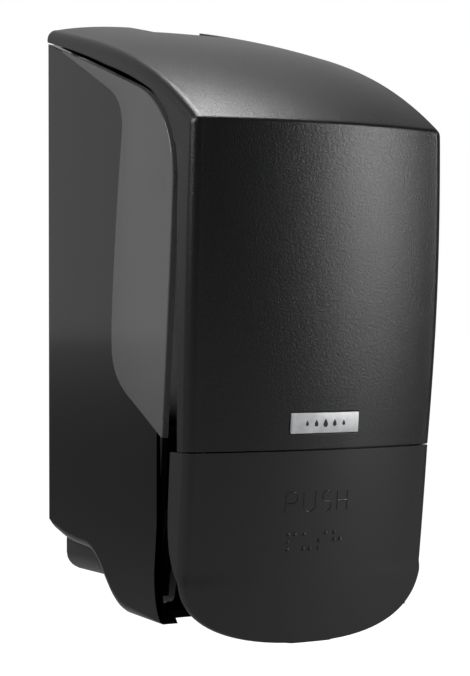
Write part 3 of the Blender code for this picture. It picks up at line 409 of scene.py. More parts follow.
trim(rear_shell, [round_bar("x", HINGE, PIN_BORE, side * (BOSS_IN - 1), side * (SHELL_HALF - 1.2))
                  for side in (-1, 1)])
SCREW_BORE = 1.8
SCREW_SPOTS = ((0.0, 40.0), (-22.0, -14.0), (22.0, -14.0), (-34.0, -36.0), (34.0, -36.0))
trim(rear_shell, [round_bar("y", spot, SCREW_BORE, -12.0, 1.0) for spot in SCREW_SPOTS])
even_normals(rear_shell)
fit(rear_shell, "housing", "gloss_shell", "rear_shell")

# --- Side windows ------------------------------------------------------------------------------
# Smoked see-through panels set flush in the side walls, to show the level in the cartridge.
# They are moulded in grey-tinted plastic and polished, and snap in along their back edge.

finish, shader, add = new_finish("smoked_window_plastic")
link = finish.node_tree.links.new
place = add("ShaderNodeTexCoord")
haze = add("ShaderNodeTexNoise", Scale=22.0, Detail=2.0)
link(place.outputs["Object"], haze.inputs["Vector"])
smoke = add("ShaderNodeValToRGB")
smoke.color_ramp.elements[0].color = (0.1, 0.1, 0.102, 1.0)
smoke.color_ramp.elements[1].color = (0.126, 0.126, 0.128, 1.0)
link(haze.outputs["Fac"], smoke.inputs["Fac"])
link(smoke.outputs["Color"], shader.inputs["Base Color"])
shader.inputs["Roughness"].default_value = 0.08
shader.inputs["Alpha"].default_value = 0.74
relief(finish, shader, add, haze.outputs["Fac"], 0.05, 0.00002)
smoked_plastic = finish

SEAM = 0.06
window_outline = TOP_EDGE + FRONT_EDGE + [(-60.0, -92.0), (SHELL_BACK_Y, -92.0)]
window_rolls = [FINE_ROLL] * len(window_outline)
behind_seam = [(y - SEAM, z + SEAM) for y, z in window_region[:-2]]
behind_seam += [(-130.0, -130.0), (30.0, -130.0), (30.0, 130.0), (-10.0 - SEAM, 130.0)]
for side, label in ((-1, "left"), (1, "right")):
    window_solid = skin(rolled_slab(window_outline, window_rolls, side * (SHELL_INNER + 0.02),
                                    side * SHELL_HALF))
    bmesh.ops.triangulate(window_solid, faces=[f for f in window_solid.faces if len(f.verts) > 4])
    window = piece(f"smoked_window_{label}", window_solid, smoked_plastic)
    near, far = sorted((side * SHELL_INNER, side * SHELL_HALF))
    trim(window, [slab(behind_seam, near - 1, far + 1)])
    even_normals(window)
    fit(window, "housing", "smoked_window", f"side_window_{label}")

# --- Screws ------------------------------------------------------------------------------------
# Pan head screws, zinc plated: three hold the shell to the wall plate, two the chassis to the
# shell, four the cover to its frame and one the cam to the lock barrel.


def smooth_copy(name, finish, body, slot, edge_mm=0.0, smooth_below=35.0):
    """The node's own solid with its round faces smooth and, where asked, its edges broken."""
    shape = bmesh.new()
    shape.from_mesh(nodes[name].data)
    bmesh.ops.remove_doubles(shape, verts=shape.verts, dist=0.000004)
    bmesh.ops.dissolve_limit(shape, angle_limit=math.radians(0.6), verts=shape.verts,
                             edges=shape.edges)
    mesh = bpy.data.meshes.new(f"{name}_finished")
    shape.to_mesh(mesh)
    shape.free()
    mesh.materials.append(finish)
    mesh.shade_smooth()
    mesh.set_sharp_from_angle(angle=math.radians(smooth_below))
    made = bpy.data.objects.new(f"{name}_finished", mesh)
    bpy.context.scene.collection.objects.link(made)
    if edge_mm:
        break_edges(made, edge_mm)
    return fit(made, body, slot, name)


screw_zinc = sheet_metal("zinc_plated_screw", (0.55, 0.56, 0.57), 0.3, 600.0)
for name, body in ([(f"shell_screw_{n}", "housing") for n in (1, 2, 3)]
                   + [(f"chassis_screw_{n}", "housing") for n in (1, 2)]
                   + [(f"frame_screw_{n}", "cover") for n in (1, 2, 3, 4)]
                   + [("cam_screw", "lock")]):
    smooth_copy(name, screw_zinc, body, "screw_steel")

# --- Chassis -----------------------------------------------------------------------------------
# The inner carrier in plain black plastic: a deck that the cartridge stands on, two lugs for
# the rocker and a rounded foot that shows below the shell at the back.

plain_black = moulded_plastic("plain_black_moulding", (0.012, 0.012, 0.0125), 0.38, 0.8, 0.00001,
                              0.12, 0.15)
smooth_copy("chassis", plain_black, "housing", "black_plastic", 0.35)

# --- Cartridge ---------------------------------------------------------------------------------
# The sealed soap bottle stands on the deck with its neck down. It is blow moulded in milky
# plastic, about a millimetre thick, and closed by a white collar over a soft ring.

finish, shader, add = new_finish("milky_bottle_plastic")
link = finish.node_tree.links.new
place = add("ShaderNodeTexCoord")
thick = add("ShaderNodeTexNoise", Scale=30.0, Detail=2.0)
link(place.outputs["Object"], thick.inputs["Vector"])
milk = add("ShaderNodeValToRGB")
milk.color_ramp.elements[0].color = (0.60, 0.61, 0.60, 1.0)
milk.color_ramp.elements[1].color = (0.74, 0.75, 0.74, 1.0)
link(thick.outputs["Fac"], milk.inputs["Fac"])
link(milk.outputs["Color"], shader.inputs["Base Color"])
shader.inputs["Roughness"].default_value = 0.32
shader.inputs["Subsurface Weight"].default_value = 0.25
shader.inputs["Subsurface Radius"].default_value = (0.004, 0.004, 0.004)
shader.inputs["Subsurface Scale"].default_value = 1.0
relief(finish, shader, add, thick.outputs["Fac"], 0.2, 0.0003)
milky_plastic = finish
smooth_copy("soap_bottle", milky_plastic, "housing", "bottle_plastic", 0.0, 50.0)

white_plastic = moulded_plastic("white_moulding", (0.72, 0.72, 0.70), 0.35, 0.8, 0.00001, 0.1, 0.03)
smooth_copy("neck_collar", white_plastic, "housing", "pump_plastic", 0.3)
soft_ring = moulded_plastic("soft_ring_rubber", (0.02, 0.02, 0.02), 0.75, 0.5, 0.00002, 0.3, 0.2)
dress("neck_seal", soft_ring)

# --- Pump --------------------------------------------------------------------------------------
# White body in the neck with an inlet ball and a return spring above the hollow stem. The
# stem's disc is lifted to pump, and a soft nozzle tip is pushed on its lower end.

smooth_copy("pump_body", white_plastic, "housing", "pump_plastic")
spring_wire = sheet_metal("stainless_wire", (0.60, 0.60, 0.61), 0.25, 900.0)
smooth_copy("inlet_ball", spring_wire, "housing", "spring_steel", 0.0, 80.0)
spring = smooth_copy("pump_spring", spring_wire, "housing", "spring_steel", 0.0, 80.0)
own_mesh(spring)
smooth_copy("pump_stem", white_plastic, "stem", "pump_plastic", 0.25)
tip_plastic = moulded_plastic("translucent_tip", (0.55, 0.56, 0.56), 0.3, 0.9, 0.00001, 0.1, 0.04)
smooth_copy("nozzle_tip", tip_plastic, "stem", "nozzle_plastic", 0.25)

# --- Rocker ------------------------------------------------------------------------------------
# A black bell-crank on a steel axle between the chassis lugs: the lever's rib pushes its leg
# back, and its fork lifts the disc of the pump stem.

smooth_copy("rocker", plain_black, "rocker_body", "black_plastic", 0.3)
ground_steel = sheet_metal("ground_steel_pin", (0.58, 0.58, 0.59), 0.22, 500.0)
smooth_copy("rocker_axle", ground_steel, "housing", "pin_steel")

# --- Lock --------------------------------------------------------------------------------------
# A nickel plated barrel in a black housing at the top of the shell. Its key slot faces up
# through the opening in the cover, and its cam swings in front of the cover's catch.

nickel = sheet_metal("nickel_plate", (0.62, 0.61, 0.58), 0.2, 300.0)
smooth_copy("lock_housing", plain_black, "housing", "black_plastic", 0.2)
smooth_copy("lock_barrel", nickel, "lock", "lock_metal", 0.15)
smooth_copy("lock_cam", nickel, "lock", "lock_metal", 0.2)

# --- Cover frame -------------------------------------------------------------------------------
# Two black rails and two cross bars inside the cover, from its crease down to the hinge eyes.
# Steel pins carry the cover at the foot and the push lever at the middle.

smooth_copy("cover_frame", plain_black, "cover", "black_plastic", 0.3)
for label in ("left", "right"):
    smooth_copy(f"hinge_pin_{label}", ground_steel, "housing", "pin_steel")
    smooth_copy(f"lever_pin_{label}", ground_steel, "cover", "pin_steel")

# --- Front cover -------------------------------------------------------------------------------
# The large charcoal lid, hinged at its foot: a crowned top, a sharp crease and a front that
# bulges slightly and leans back below. Moulded 2.4 mm thick with a fine satin grain.

COVER_WIDTH, COVER_BARREL, COVER_WALL = 99.0, 0.8, 2.4
FRONT_DEPTH, FRONT_BULGE, CORNER_RADIUS = 114.0, 6.0, 4.0
TOP_EDGE_Z, TOP_BACK_DEPTH, TOP_CROWN = 94.8, 0.6, 3.4
TOP_SLOPES = (12.1, 35.4)
CREASE_RADIUS = 2.5
SEAM_Z, SEAM_DEPTH = -56.5, 108.0
LEVER_FOOT_Z, LEVER_FOOT_DEPTH = -122.0, 100.0


def top_line(count=36):
    """The cover's top corner line from the wall to the crease, sloping more and more."""
    y, z = -TOP_BACK_DEPTH, TOP_EDGE_Z
    line = [(y, z)]
    step = (FRONT_DEPTH - CREASE_RADIUS - TOP_BACK_DEPTH) / count
    for i in range(count):
        share = (i + 0.5) / count
        y -= step
        z -= step * math.tan(math.radians(TOP_SLOPES[0] + (TOP_SLOPES[1] - TOP_SLOPES[0]) * share ** 2))
        line.append((y, z))
    return line


CREASE = top_line()[-1]
FRONT_TOP_Z = CREASE[1] - CREASE_RADIUS * 1.2


def front_depth(z):
    """Depth of the front's corner line: upright at the top, leaning back below."""
    span = FRONT_TOP_Z - LEVER_FOOT_Z
    drop = FRONT_DEPTH - LEVER_FOOT_DEPTH
    power = math.log((FRONT_DEPTH - SEAM_DEPTH) / drop) / math.log((FRONT_TOP_Z - SEAM_Z) / span)
    return FRONT_DEPTH - drop * min(1.0, max(0.0, (FRONT_TOP_Z - z) / span)) ** power


def cover_line():
    """Stations (y, z, facing in degrees) along the corner line from the wall to the seam."""
    fan_start, fan_end = -0.64 * FRONT_DEPTH, FRONT_TOP_Z - 36.0
    line = top_line()
    line += curve_points(CREASE, (CREASE[0] - CREASE_RADIUS * 0.6, CREASE[1] - CREASE_RADIUS * 0.45),
                         (-FRONT_DEPTH, FRONT_TOP_Z + CREASE_RADIUS * 0.6),
                         (-FRONT_DEPTH, FRONT_TOP_Z), 8)[1:]
    for i in range(1, 33):
        z = FRONT_TOP_Z + (SEAM_Z - FRONT_TOP_Z) * i / 32
        line.append((-front_depth(z), z))
    run = [0.0]
    for a, b in zip(line, line[1:]):
        run.append(run[-1] + math.dist(a, b))
    start = next(s for s, p in zip(run, line) if p[0] <= fan_start)
    end = next(s for s, p in zip(run, line) if p[1] <= fan_end)
    stations = []
    for s, (y, z) in zip(run, line):
        if s <= start:
            facing = 90.0 + 22.0 * s / start
        else:
            facing = min(180.0, 112.0 + 68.0 * (s - start) / (end - start))
        stations.append((y, z, facing))
    return stations


TOP_FLANGE = ((0.0, 4.9), (0.45, 6.6), (0.76, 5.6), (0.87, 7.6), (0.98, 13.6))
FRONT_FLANGE = ((SEAM_Z, 7.4), (3.0, 9.7), (39.0, 11.5), (51.0, 14.5))


def between(table, at):
    """Straight interpolation in a short table of (place, value)."""
    for (a, low), (b, high) in zip(table, table[1:]):
        if at <= b:
            return low + (high - low) * max(0.0, (at - a) / (b - a))
    return table[-1][1]


def turned_side(y, z):
    """How deep the cover's turned side reaches from its corner line: deepest at the crease."""
    if y > 4.0 - FRONT_DEPTH and z > FRONT_TOP_Z:
        return between(TOP_FLANGE, -y / FRONT_DEPTH)
    return between(FRONT_FLANGE, z)


def across(half_width, side, corner, inset=0.0, bend=8, steps=28):
    """Section points (x, outwards, rise) over one face: side, corner, face, corner, side.

    rise is 1 in the middle of the face and 0 at its corners.
    """
    wide = half_width - inset
    radius = max(0.5, corner - inset)
    flat, low = wide - radius, -inset - radius
    points = [(-wide, -side, 0.0)]
    for i in range(bend + 1):
        turn = math.radians(180.0 - 90.0 * i / bend)
        points.append((-flat + radius * math.cos(turn), low + radius * math.sin(turn), 0.0))
    for i in range(1, steps):
        share = 2.0 * i / steps - 1.0
        points.append((flat * share, -inset, 1.0 - abs(share)))
    return points + [(-x, n, rise) for x, n, rise in reversed(points[:bend + 2])]


def half_width_at(z):
    """Half the width of cover and lever at a height: barrelled above the seam, narrowing below."""
    down = max(0.0, FRONT_TOP_Z - z)
    share = min(1.0, down / (FRONT_TOP_Z - LEVER_FOOT_Z))
    above_seam = min(1.0, down / (FRONT_TOP_Z - SEAM_Z))
    return COVER_WIDTH / 2 - 1.4 * share + COVER_BARREL * math.sin(math.pi * above_seam)


def thin_shell(rings):
    """A thin-walled moulding from closed loops, open at both ends except for its wall."""
    shape = bmesh.new()
    rows = [[shape.verts.new(point) for point in ring] for ring in rings]
    count = len(rows[0])
    for row, following in zip(rows, rows[1:]):
        for i in range(count):
            j = (i + 1) % count
            shape.faces.new((row[i], row[j], following[j], following[i]))
    for end in (rows[0], rows[-1]):
        for i in range(count // 2 - 1):
            shape.faces.new((end[i], end[i + 1], end[count - 2 - i], end[count - 1 - i]))
    return shape


def cover_section(y, z, facing, inset=0.0):
    """The cover across one station. It bows upward at the wall and forward below the crease."""
    out_y, out_z = math.cos(math.radians(facing)), math.sin(math.radians(facing))
    share = min(1.0, max(0.0, -y / FRONT_DEPTH)) if z > FRONT_TOP_Z else 1.0
    up = TOP_CROWN * (1.0 - share ** 2)
    points = []
    for x, n, rise in across(half_width_at(z), turned_side(y, z), CORNER_RADIUS, inset):
        bow = 1.0 - (1.0 - rise) ** (3.0 - share)
        points.append((x, y + n * out_y - FRONT_BULGE * share * bow, z + n * out_z + up * bow))
    return points


# Each loop runs over the outside, then back along the inside
cover_loops = [cover_section(*station) + cover_section(*station, COVER_WALL)[::-1]
               for station in cover_line()]
satin_charcoal = moulded_plastic("satin_charcoal", (0.0042, 0.0043, 0.0046), 0.31, 0.65, 0.00015,
                                 0.7, 0.35)
front_cover = piece("front_cover_moulding", thin_shell(cover_loops), satin_charcoal, 50.0)
KEY_HALF, KEY_BACK = 15.0, 20.5
key_opening = box_shape((-KEY_HALF, -KEY_BACK, 84.0), (KEY_HALF, 2.0, 110.0))
trim(front_cover, [key_opening], smooth_below=50.0)

LABEL_Z, LABEL_WIDTH, LABEL_HEIGHT = -47.6, 26.4, 6.9
LABEL_THICK, LABEL_PROUD = 1.2, 0.3
label_lean = math.atan((front_depth(LABEL_Z + 1) - front_depth(LABEL_Z - 1)) / 2)
label_place = (Matrix.Translation((0.0, -(front_depth(LABEL_Z) + FRONT_BULGE), LABEL_Z))
               @ Matrix.Rotation(label_lean, 4, "X"))


def label_block(grow, back, front, rounding=0.0):
    """The label's own block, leaning with the front; grow widens it into its pocket."""
    shape = box_shape((-LABEL_WIDTH / 2 - grow, front, -LABEL_HEIGHT / 2 - grow),
                      (LABEL_WIDTH / 2 + grow, back, LABEL_HEIGHT / 2 + grow), rounding, 3)
    shape.transform(label_place)
    return shape


label_back = LABEL_THICK - LABEL_PROUD
trim(front_cover, [label_block(0.12, label_back + LOOSE, -5.0)], smooth_below=50.0)
break_edges(front_cover, 0.35, 2, 60.0)
fit(front_cover, "cover", "cover_plastic", "front_cover")

# Inside the cover: the catch for the lock's cam, and the bosses that the frame is screwed to
catch = piece("cover_catch", box_shape((-22.0, -10.0, 63.0), (-17.0, -7.6, 94.6), 0.3, 2),
              satin_charcoal)
fit(catch, "cover", "cover_plastic")
for number, (x, z) in enumerate([(sx * 24.0, z) for z in (30.0, -30.0) for sx in (-1, 1)], 1):
    boss = piece(f"cover_boss_{number}",
                 round_bar("y", (x, z), 3.4, -107.4, -front_depth(z) - 1.0), satin_charcoal)
    fit(boss, "cover", "cover_plastic")

# --- Label plate -------------------------------------------------------------------------------
# A thin satin aluminium plate set in a pocket low on the cover. It carries no name, only a
# plain row of printed soap drops.

label_metal = sheet_metal("satin_label_metal", (0.68, 0.69, 0.70), 0.42, 260.0)
label_metal.node_tree.nodes["Principled BSDF"].inputs["Metallic"].default_value = 0.35
label = piece("label_plate", label_block(0.0, label_back, -LABEL_PROUD, 0.28), label_metal)
fit(label, "cover", "silver_label", "name_plate")

black_ink = moulded_plastic("black_ink", (0.006, 0.006, 0.006), 0.5, 0.3, 0.000002, 0.1, 0.1)


def drop_outline(size, count=28):
    """A soap drop: round below, drawn to a point above."""
    points = []
    for i in range(count):
        turn = math.tau * i / count
        narrow = math.sin(turn / 2) ** 1.3
        points.append((0.52 * size * math.sin(turn) * narrow, size * (math.cos(turn) * 0.62)))
    return points


drops = bmesh.new()
for index, size in enumerate((1.5, 1.9, 2.3, 1.9, 1.5)):
    centre_x = (index - 2) * 3.6
    rings = [[(centre_x + x, depth, z) for x, z in drop_outline(size)]
             for depth in (-LABEL_PROUD - 0.05, -LABEL_PROUD + 0.1)]
    rows = [[drops.verts.new(p) for p in ring] for ring in rings]
    for i in range(len(rows[0])):
        j = (i + 1) % len(rows[0])
        drops.faces.new((rows[0][i], rows[0][j], rows[1][j], rows[1][i]))
    drops.faces.new(rows[0])
    drops.faces.new(rows[1])
drops.transform(label_place)
printed_drops = piece("printed_drops", drops, black_ink)
fit(printed_drops, "cover", "silver_label")

# --- Push lever --------------------------------------------------------------------------------
# The lower part of the front, in the same charcoal but a finer grain. It hangs on two pins in
# the frame; its foot is pressed back, and a rib inside it drives the rocker.

LEVER_TOP_Z, LEVER_WALL, LEVER_CORNER = SEAM_Z - 0.4, 2.2, 26.0
LEVER_SIDE, LEVER_FOOT_SIDE = 12.0, 2.8
LEVER_PIN = (-99.0, -44.0)


def lever_half_width(z, inset=0.0):
    """Straight sides, then a foot rounded as a superellipse."""
    full = half_width_at(z) - inset
    turn_z = LEVER_FOOT_Z + LEVER_CORNER
    if z >= turn_z:
        return full
    share = min(0.999, (turn_z - z) / (LEVER_CORNER - inset))
    return full * (1 - share ** 2.5) ** (1 / 2.5)


def lever_ring(z, inset, reach=0.0):
    """The lever across one height; reach draws its sides further back, to cut out the hollow."""
    wide = max(9.0, lever_half_width(z, inset)) + inset
    share = min(1.0, max(0.0, (LEVER_TOP_Z - z) / (LEVER_TOP_Z + 100.0)))
    side = LEVER_SIDE - (LEVER_SIDE - LEVER_FOOT_SIDE) * share ** 5
    corner = min(CORNER_RADIUS, side - 0.3, wide / 3)
    crown = FRONT_BULGE * (wide / half_width_at(z)) ** 2
    section = across(wide, side + reach, corner, inset)
    ahead = front_depth(z) + FRONT_BULGE - crown
    return [(x, -ahead - n - crown * (1.0 - (1.0 - rise) ** 2), z) for x, n, rise in section]


def lever_levels(foot):
    """Heights from the lever's top to its foot, closer together round the foot."""
    turn_z = LEVER_FOOT_Z + LEVER_CORNER
    levels = [LEVER_TOP_Z + (turn_z - LEVER_TOP_Z) * i / 16 for i in range(17)]
    for i in range(1, 25):
        levels.append(turn_z + (foot - turn_z) * math.sin(math.radians(90 * i / 24)))
    return levels


satin_lever = moulded_plastic("fine_satin_charcoal", (0.0075, 0.0077, 0.0081), 0.36, 0.4, 0.00003,
                              0.16, 0.12)
lever_rings = [lever_ring(z, 0.0) for z in lever_levels(LEVER_FOOT_Z)]
push_lever = piece("push_lever_moulding", skin(lever_rings), satin_lever, 50.0)
inner_levels = [LEVER_TOP_Z + 8.0] + lever_levels(LEVER_FOOT_Z + LEVER_WALL)
hollow = skin([lever_ring(z, LEVER_WALL, 8.0) for z in inner_levels])
bmesh.ops.triangulate(hollow, faces=[f for f in hollow.faces if len(f.verts) > 4])
trim(push_lever, [hollow], smooth_below=50.0)
break_edges(push_lever, 0.3, 2, 60.0)
fit(push_lever, "lever", "lever_plastic", "push_lever")

# Behind the face: an arm to the pin on each side, and the rib that pushes the rocker
ARM_IN, ARM_OUT, EYE_RADIUS = 43.5, 45.7, 3.8
arm_outline = []
for i in range(17):
    turn = math.radians(180.0 - 180.0 * i / 16)
    arm_outline.append((LEVER_PIN[0] + EYE_RADIUS * math.cos(turn),
                        LEVER_PIN[1] + EYE_RADIUS * math.sin(turn)))
arm_outline += [(LEVER_PIN[0] + EYE_RADIUS, -60.0), (-96.4, -72.0), (-102.0, -72.0), (-102.6, -63.0),
                (-101.4, -57.0)]
web_outline = [(-98.0, -61.5), (-98.0, -71.0), (-101.6, -71.0), (-101.6, -61.5)]
for side, label in ((-1, "left"), (1, "right")):
    arm = piece(f"lever_arm_{label}", slab(arm_outline, side * ARM_IN, side * ARM_OUT), satin_lever)
    trim(arm, [round_bar("x", LEVER_PIN, PIN_BORE, -60.0, 60.0)])
    break_edges(arm, 0.25)
    fit(arm, "lever", "lever_plastic")
    web = piece(f"lever_web_{label}", slab(web_outline, side * (ARM_OUT - 0.2),
                                           side * (half_width_at(-64.0) - 0.8)), satin_lever)
    fit(web, "lever", "lever_plastic")
RIB_Z, RIB_HALF, RIB_BACK = -104.0, 7.0, -88.4
rib_front = -front_depth(RIB_Z) - FRONT_BULGE + LEVER_WALL / 2
rib = piece("lever_rib", box_shape((-RIB_HALF, rib_front, RIB_Z - 1.0), (RIB_HALF, RIB_BACK, RIB_Z + 1.0),
                                   0.3, 2), satin_lever)
fit(rib, "lever", "lever_plastic")


def tongue_ring(z, front, back):
    """A strip along the inside of the face, between two distances behind it."""
    flat = half_width_at(z) - CORNER_RADIUS
    spread = [2.0 * i - 40.0 for i in range(41)]
    face = [-front_depth(z) - FRONT_BULGE * (1.0 - (x / flat) ** 2) for x in spread]
    ring = [(x, y + front, z) for x, y in zip(spread, face)]
    return ring + [(x, y + back, z) for x, y in reversed(list(zip(spread, face)))]


# The tongue closes the seam from behind: it stands up from the lever's wall inside the cover's
behind_cover = COVER_WALL + 0.4
tongue_back = behind_cover + 1.4
tongue = piece("seam_tongue", skin([tongue_ring(LEVER_TOP_Z - below, LEVER_WALL - 0.4, tongue_back)
                                    for below in (5.0, 1.2)]), satin_lever)
upper_tongue = piece("seam_tongue_top", skin([tongue_ring(LEVER_TOP_Z + above, behind_cover, tongue_back)
                                              for above in (-1.6, 3.2)]), satin_lever)
fit(tongue, "lever", "lever_plastic")
fit(upper_tongue, "lever", "lever_plastic")


def lever_face(x, z, proud=0.0):
    """The point on the lever's outer face at this x and height."""
    flat = half_width_at(z) - CORNER_RADIUS
    return (x, -front_depth(z) - FRONT_BULGE * (1 - (x / flat) ** 2) - proud, z)


def bead(path, radius):
    """A thin round bead laid along a path of points, with closed ends."""
    sides = 10
    points = [Vector(p) for p in path]
    rings = []
    for i, point in enumerate(points):
        along = (points[min(i + 1, len(points) - 1)] - points[max(i - 1, 0)]).normalized()
        across_it = along.cross(Vector((0.0, -1.0, 0.0))).normalized()
        out = across_it.cross(along)
        rings.append([point + (across_it * math.cos(math.tau * k / sides)
                               + out * math.sin(math.tau * k / sides)) * radius for k in range(sides)])
    return skin(rings)


# The word that says what to do, as thin raised lines, with raised touch dots below it
WORD_Z, WORD_HEIGHT, STROKE = -74.0, 6.8, 0.24
low, high = WORD_Z - WORD_HEIGHT / 2, WORD_Z + WORD_HEIGHT / 2


def bend_points(centre, radius, start, end):
    """Points along an arc between two angles in degrees."""
    steps = 12
    turns = [math.radians(start + (end - start) * i / steps) for i in range(steps + 1)]
    return [(centre[0] + radius * math.cos(t), centre[1] + radius * math.sin(t)) for t in turns]


bowl = (high - low) * 0.28
strokes = {
    "p_stem": [(-13.4, low), (-13.4, high)],
    "p_bowl": ([(-13.4, high)] + bend_points((-11.0, high - bowl), bowl, 90, -90)
               + [(-13.4, high - 2 * bowl)]),
    "u": [(-6.7, high)] + bend_points((-4.4, low + 2.3), 2.3, 180, 360) + [(-2.1, high)],
    "s": (bend_points((2.4, high - bowl * 0.92), bowl * 0.92, 30, 270)
          + bend_points((2.4, low + bowl * 0.92), bowl * 0.92, 90, -150)[1:]),
    "h_left": [(6.6, low), (6.6, high)],
    "h_right": [(10.6, low), (10.6, high)],
    "h_bar": [(6.6, WORD_Z), (10.6, WORD_Z)],
}
letter_gloss = moulded_plastic("polished_letter", (0.006, 0.006, 0.0065), 0.25, 0.8, 0.000004,
                               0.1, 0.1)
for label, line in strokes.items():
    raised = piece(f"raised_line_{label}", bead([lever_face(x, z, -0.06) for x, z in line], STROKE),
                   letter_gloss, 60.0)
    fit(raised, "lever", "lever_plastic")

DOT_PITCH, CELL_PITCH, DOT_RADIUS, DOT_HEIGHT = 2.5, 6.0, 0.78, 0.5
FIRST_COLUMN_X, FIRST_ROW_Z = -11.8, -84.8
touch_cells = ((1, 2, 3, 4), (1, 3, 6), (2, 3, 4), (1, 2, 5))
for cell, dots in enumerate(touch_cells):
    for dot in dots:
        x = FIRST_COLUMN_X + cell * CELL_PITCH + (DOT_PITCH if dot > 3 else 0.0)
        z = FIRST_ROW_Z - ((dot - 1) % 3) * DOT_PITCH
        shape = bmesh.new()
        bmesh.ops.create_uvsphere(shape, u_segments=16, v_segments=10, radius=DOT_RADIUS)
        shape.transform(Matrix.Diagonal((1.0, DOT_HEIGHT / DOT_RADIUS, 1.0, 1.0)))
        shape.transform(Matrix.Translation(lever_face(x, z, -0.04)))
        touch_dot = piece(f"touch_dot_{cell + 1}_{dot}", shape, satin_lever, 80.0)
        fit(touch_dot, "lever", "lever_plastic")

# --- Floor, light and camera --------------------------------------------------------------------
# A pale floor well below the dispenser, soft boxes at the left and above, a narrow strip light
# at the front right, and a camera level with its middle, to the left of its front. In metres.

FLOOR_Z, FLOOR_SIZE, FLOOR_GREY = -0.34, 60.0, 0.36
FLOOR_SEEN = 0.93
GLOSS_NEAR, GLOSS_FAR, GLOSS_AT_FAR = 1.0, 16.0, 0.14
bpy.ops.mesh.primitive_plane_add(size=FLOOR_SIZE, location=(0.0, 0.0, FLOOR_Z))
floor = bpy.context.object
floor.name = "floor"
floor_paint, shade, add = new_finish("pale_floor")
link = floor_paint.node_tree.links.new
shade.inputs["Base Color"].default_value = (FLOOR_GREY, FLOOR_GREY, FLOOR_GREY, 1.0)
shade.inputs["Roughness"].default_value = 0.9
shade.inputs["Specular IOR Level"].default_value = 0.0
ray = add("ShaderNodeLightPath")
seen_through = add("ShaderNodeMath", operation="MAXIMUM")
link(ray.outputs["Is Camera Ray"], seen_through.inputs[0])
link(ray.outputs["Is Transmission Ray"], seen_through.inputs[1])
# In the gloss of the object the floor is dim close by and pale far away
place = add("ShaderNodeTexCoord")
distance = add("ShaderNodeVectorMath", operation="LENGTH")
link(place.outputs["Object"], distance.inputs[0])
far = add("ShaderNodeMapRange")
far.interpolation_type = "SMOOTHSTEP"
far.inputs["From Min"].default_value = GLOSS_NEAR
far.inputs["From Max"].default_value = GLOSS_FAR
far.inputs["To Min"].default_value = 0.0
far.inputs["To Max"].default_value = GLOSS_AT_FAR
link(distance.outputs["Value"], far.inputs["Value"])
in_gloss = add("ShaderNodeMath", operation="MULTIPLY")
link(far.outputs["Result"], in_gloss.inputs[0])
link(ray.outputs["Is Glossy Ray"], in_gloss.inputs[1])
pale = add("ShaderNodeMath", operation="MULTIPLY")
link(seen_through.outputs["Value"], pale.inputs[0])
pale.inputs[1].default_value = FLOOR_SEEN
strength = add("ShaderNodeMath", operation="MAXIMUM")
link(pale.outputs["Value"], strength.inputs[0])
link(in_gloss.outputs["Value"], strength.inputs[1])
glow = add("ShaderNodeEmission")
link(strength.outputs["Value"], glow.inputs["Strength"])
both = add("ShaderNodeAddShader")
link(shade.outputs["BSDF"], both.inputs[0])
link(glow.outputs["Emission"], both.inputs[1])
link(both.outputs["Shader"], floor_paint.node_tree.nodes["Material Output"].inputs["Surface"])
floor.data.materials.append(floor_paint)

# Around it: white to look at and through, and in the gloss a pale backdrop behind the object
# that fades to a dim room in front of it
FILL, DIM_ROOM, PALE_BACKDROP = 0.3, 0.02, 0.5
world = bpy.data.worlds.new("studio")
bpy.context.scene.world = world
world.use_nodes = True
tree = world.node_tree
for node in list(tree.nodes):
    tree.nodes.remove(node)
link = tree.links.new
ray = tree.nodes.new("ShaderNodeLightPath")
seen_through = tree.nodes.new("ShaderNodeMath")
seen_through.operation = "MAXIMUM"
link(ray.outputs["Is Camera Ray"], seen_through.inputs[0])
link(ray.outputs["Is Transmission Ray"], seen_through.inputs[1])
way = tree.nodes.new("ShaderNodeTexCoord")
split = tree.nodes.new("ShaderNodeSeparateXYZ")
link(way.outputs["Generated"], split.inputs["Vector"])
behind = tree.nodes.new("ShaderNodeMapRange")
behind.interpolation_type = "SMOOTHSTEP"
behind.inputs["From Min"].default_value = 0.0
behind.inputs["From Max"].default_value = 0.9
behind.inputs["To Min"].default_value = DIM_ROOM
behind.inputs["To Max"].default_value = PALE_BACKDROP
link(split.outputs["Y"], behind.inputs["Value"])
white, gloss_room, fill = (tree.nodes.new("ShaderNodeBackground") for _ in range(3))
fill.inputs["Strength"].default_value = FILL
link(behind.outputs["Result"], gloss_room.inputs["Strength"])
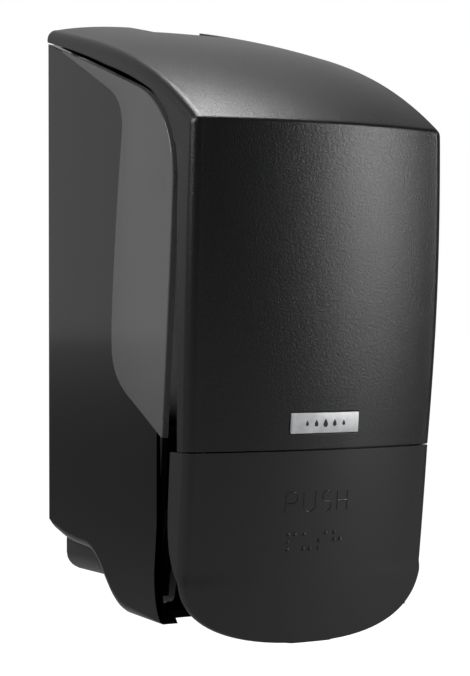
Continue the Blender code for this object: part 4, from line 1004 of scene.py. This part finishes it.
for shade in (white, gloss_room, fill):
    shade.inputs["Color"].default_value = (1.0, 1.0, 1.0, 1.0)
in_gloss = tree.nodes.new("ShaderNodeMixShader")
link(ray.outputs["Is Glossy Ray"], in_gloss.inputs["Fac"])
link(fill.outputs["Background"], in_gloss.inputs[1])
link(gloss_room.outputs["Background"], in_gloss.inputs[2])
choose = tree.nodes.new("ShaderNodeMixShader")
link(seen_through.outputs["Value"], choose.inputs["Fac"])
link(in_gloss.outputs["Shader"], choose.inputs[1])
link(white.outputs["Background"], choose.inputs[2])
link(choose.outputs["Shader"], tree.nodes.new("ShaderNodeOutputWorld").inputs["Surface"])


def soft_box(name, place, aim, size, watts):
    """A rectangular studio lamp at a place, turned to its aim."""
    lamp = bpy.data.lights.new(name, "AREA")
    lamp.shape = "RECTANGLE"
    lamp.size, lamp.size_y = size
    lamp.energy = watts
    holder = bpy.data.objects.new(name, lamp)
    holder.location = place
    holder.rotation_euler = (Vector(aim) - Vector(place)).to_track_quat("-Z", "Y").to_euler()
    bpy.context.scene.collection.objects.link(holder)


soft_box("left_box", (-1.2, -0.1, 0.7), (0.0, -0.05, 0.0), (0.7, 0.7), 14.0)
soft_box("top_box", (0.2, 0.15, 1.3), (0.0, -0.05, 0.0), (0.5, 0.5), 13.0)
soft_box("right_strip", (0.92, -1.02, 0.28), (0.0, -0.08, 0.0), (0.1, 0.8), 9.0)

CAMERA_PLACE = (-0.3537, -0.6672, -0.014)
CAMERA_TURN = 30.0
FOCAL_LENGTH, LENS_SHIFT = 104.5, -0.0237
lens = bpy.data.cameras.new("camera")
lens.sensor_width = 36.0
lens.lens = FOCAL_LENGTH
lens.shift_y = LENS_SHIFT
lens.clip_start = 0.01
camera = bpy.data.objects.new("camera", lens)
camera.location = CAMERA_PLACE
camera.rotation_euler = (math.radians(90.0), 0.0, math.radians(-CAMERA_TURN))
bpy.context.scene.collection.objects.link(camera)
bpy.context.scene.camera = camera
bpy.context.scene.view_settings.view_transform = "Standard"
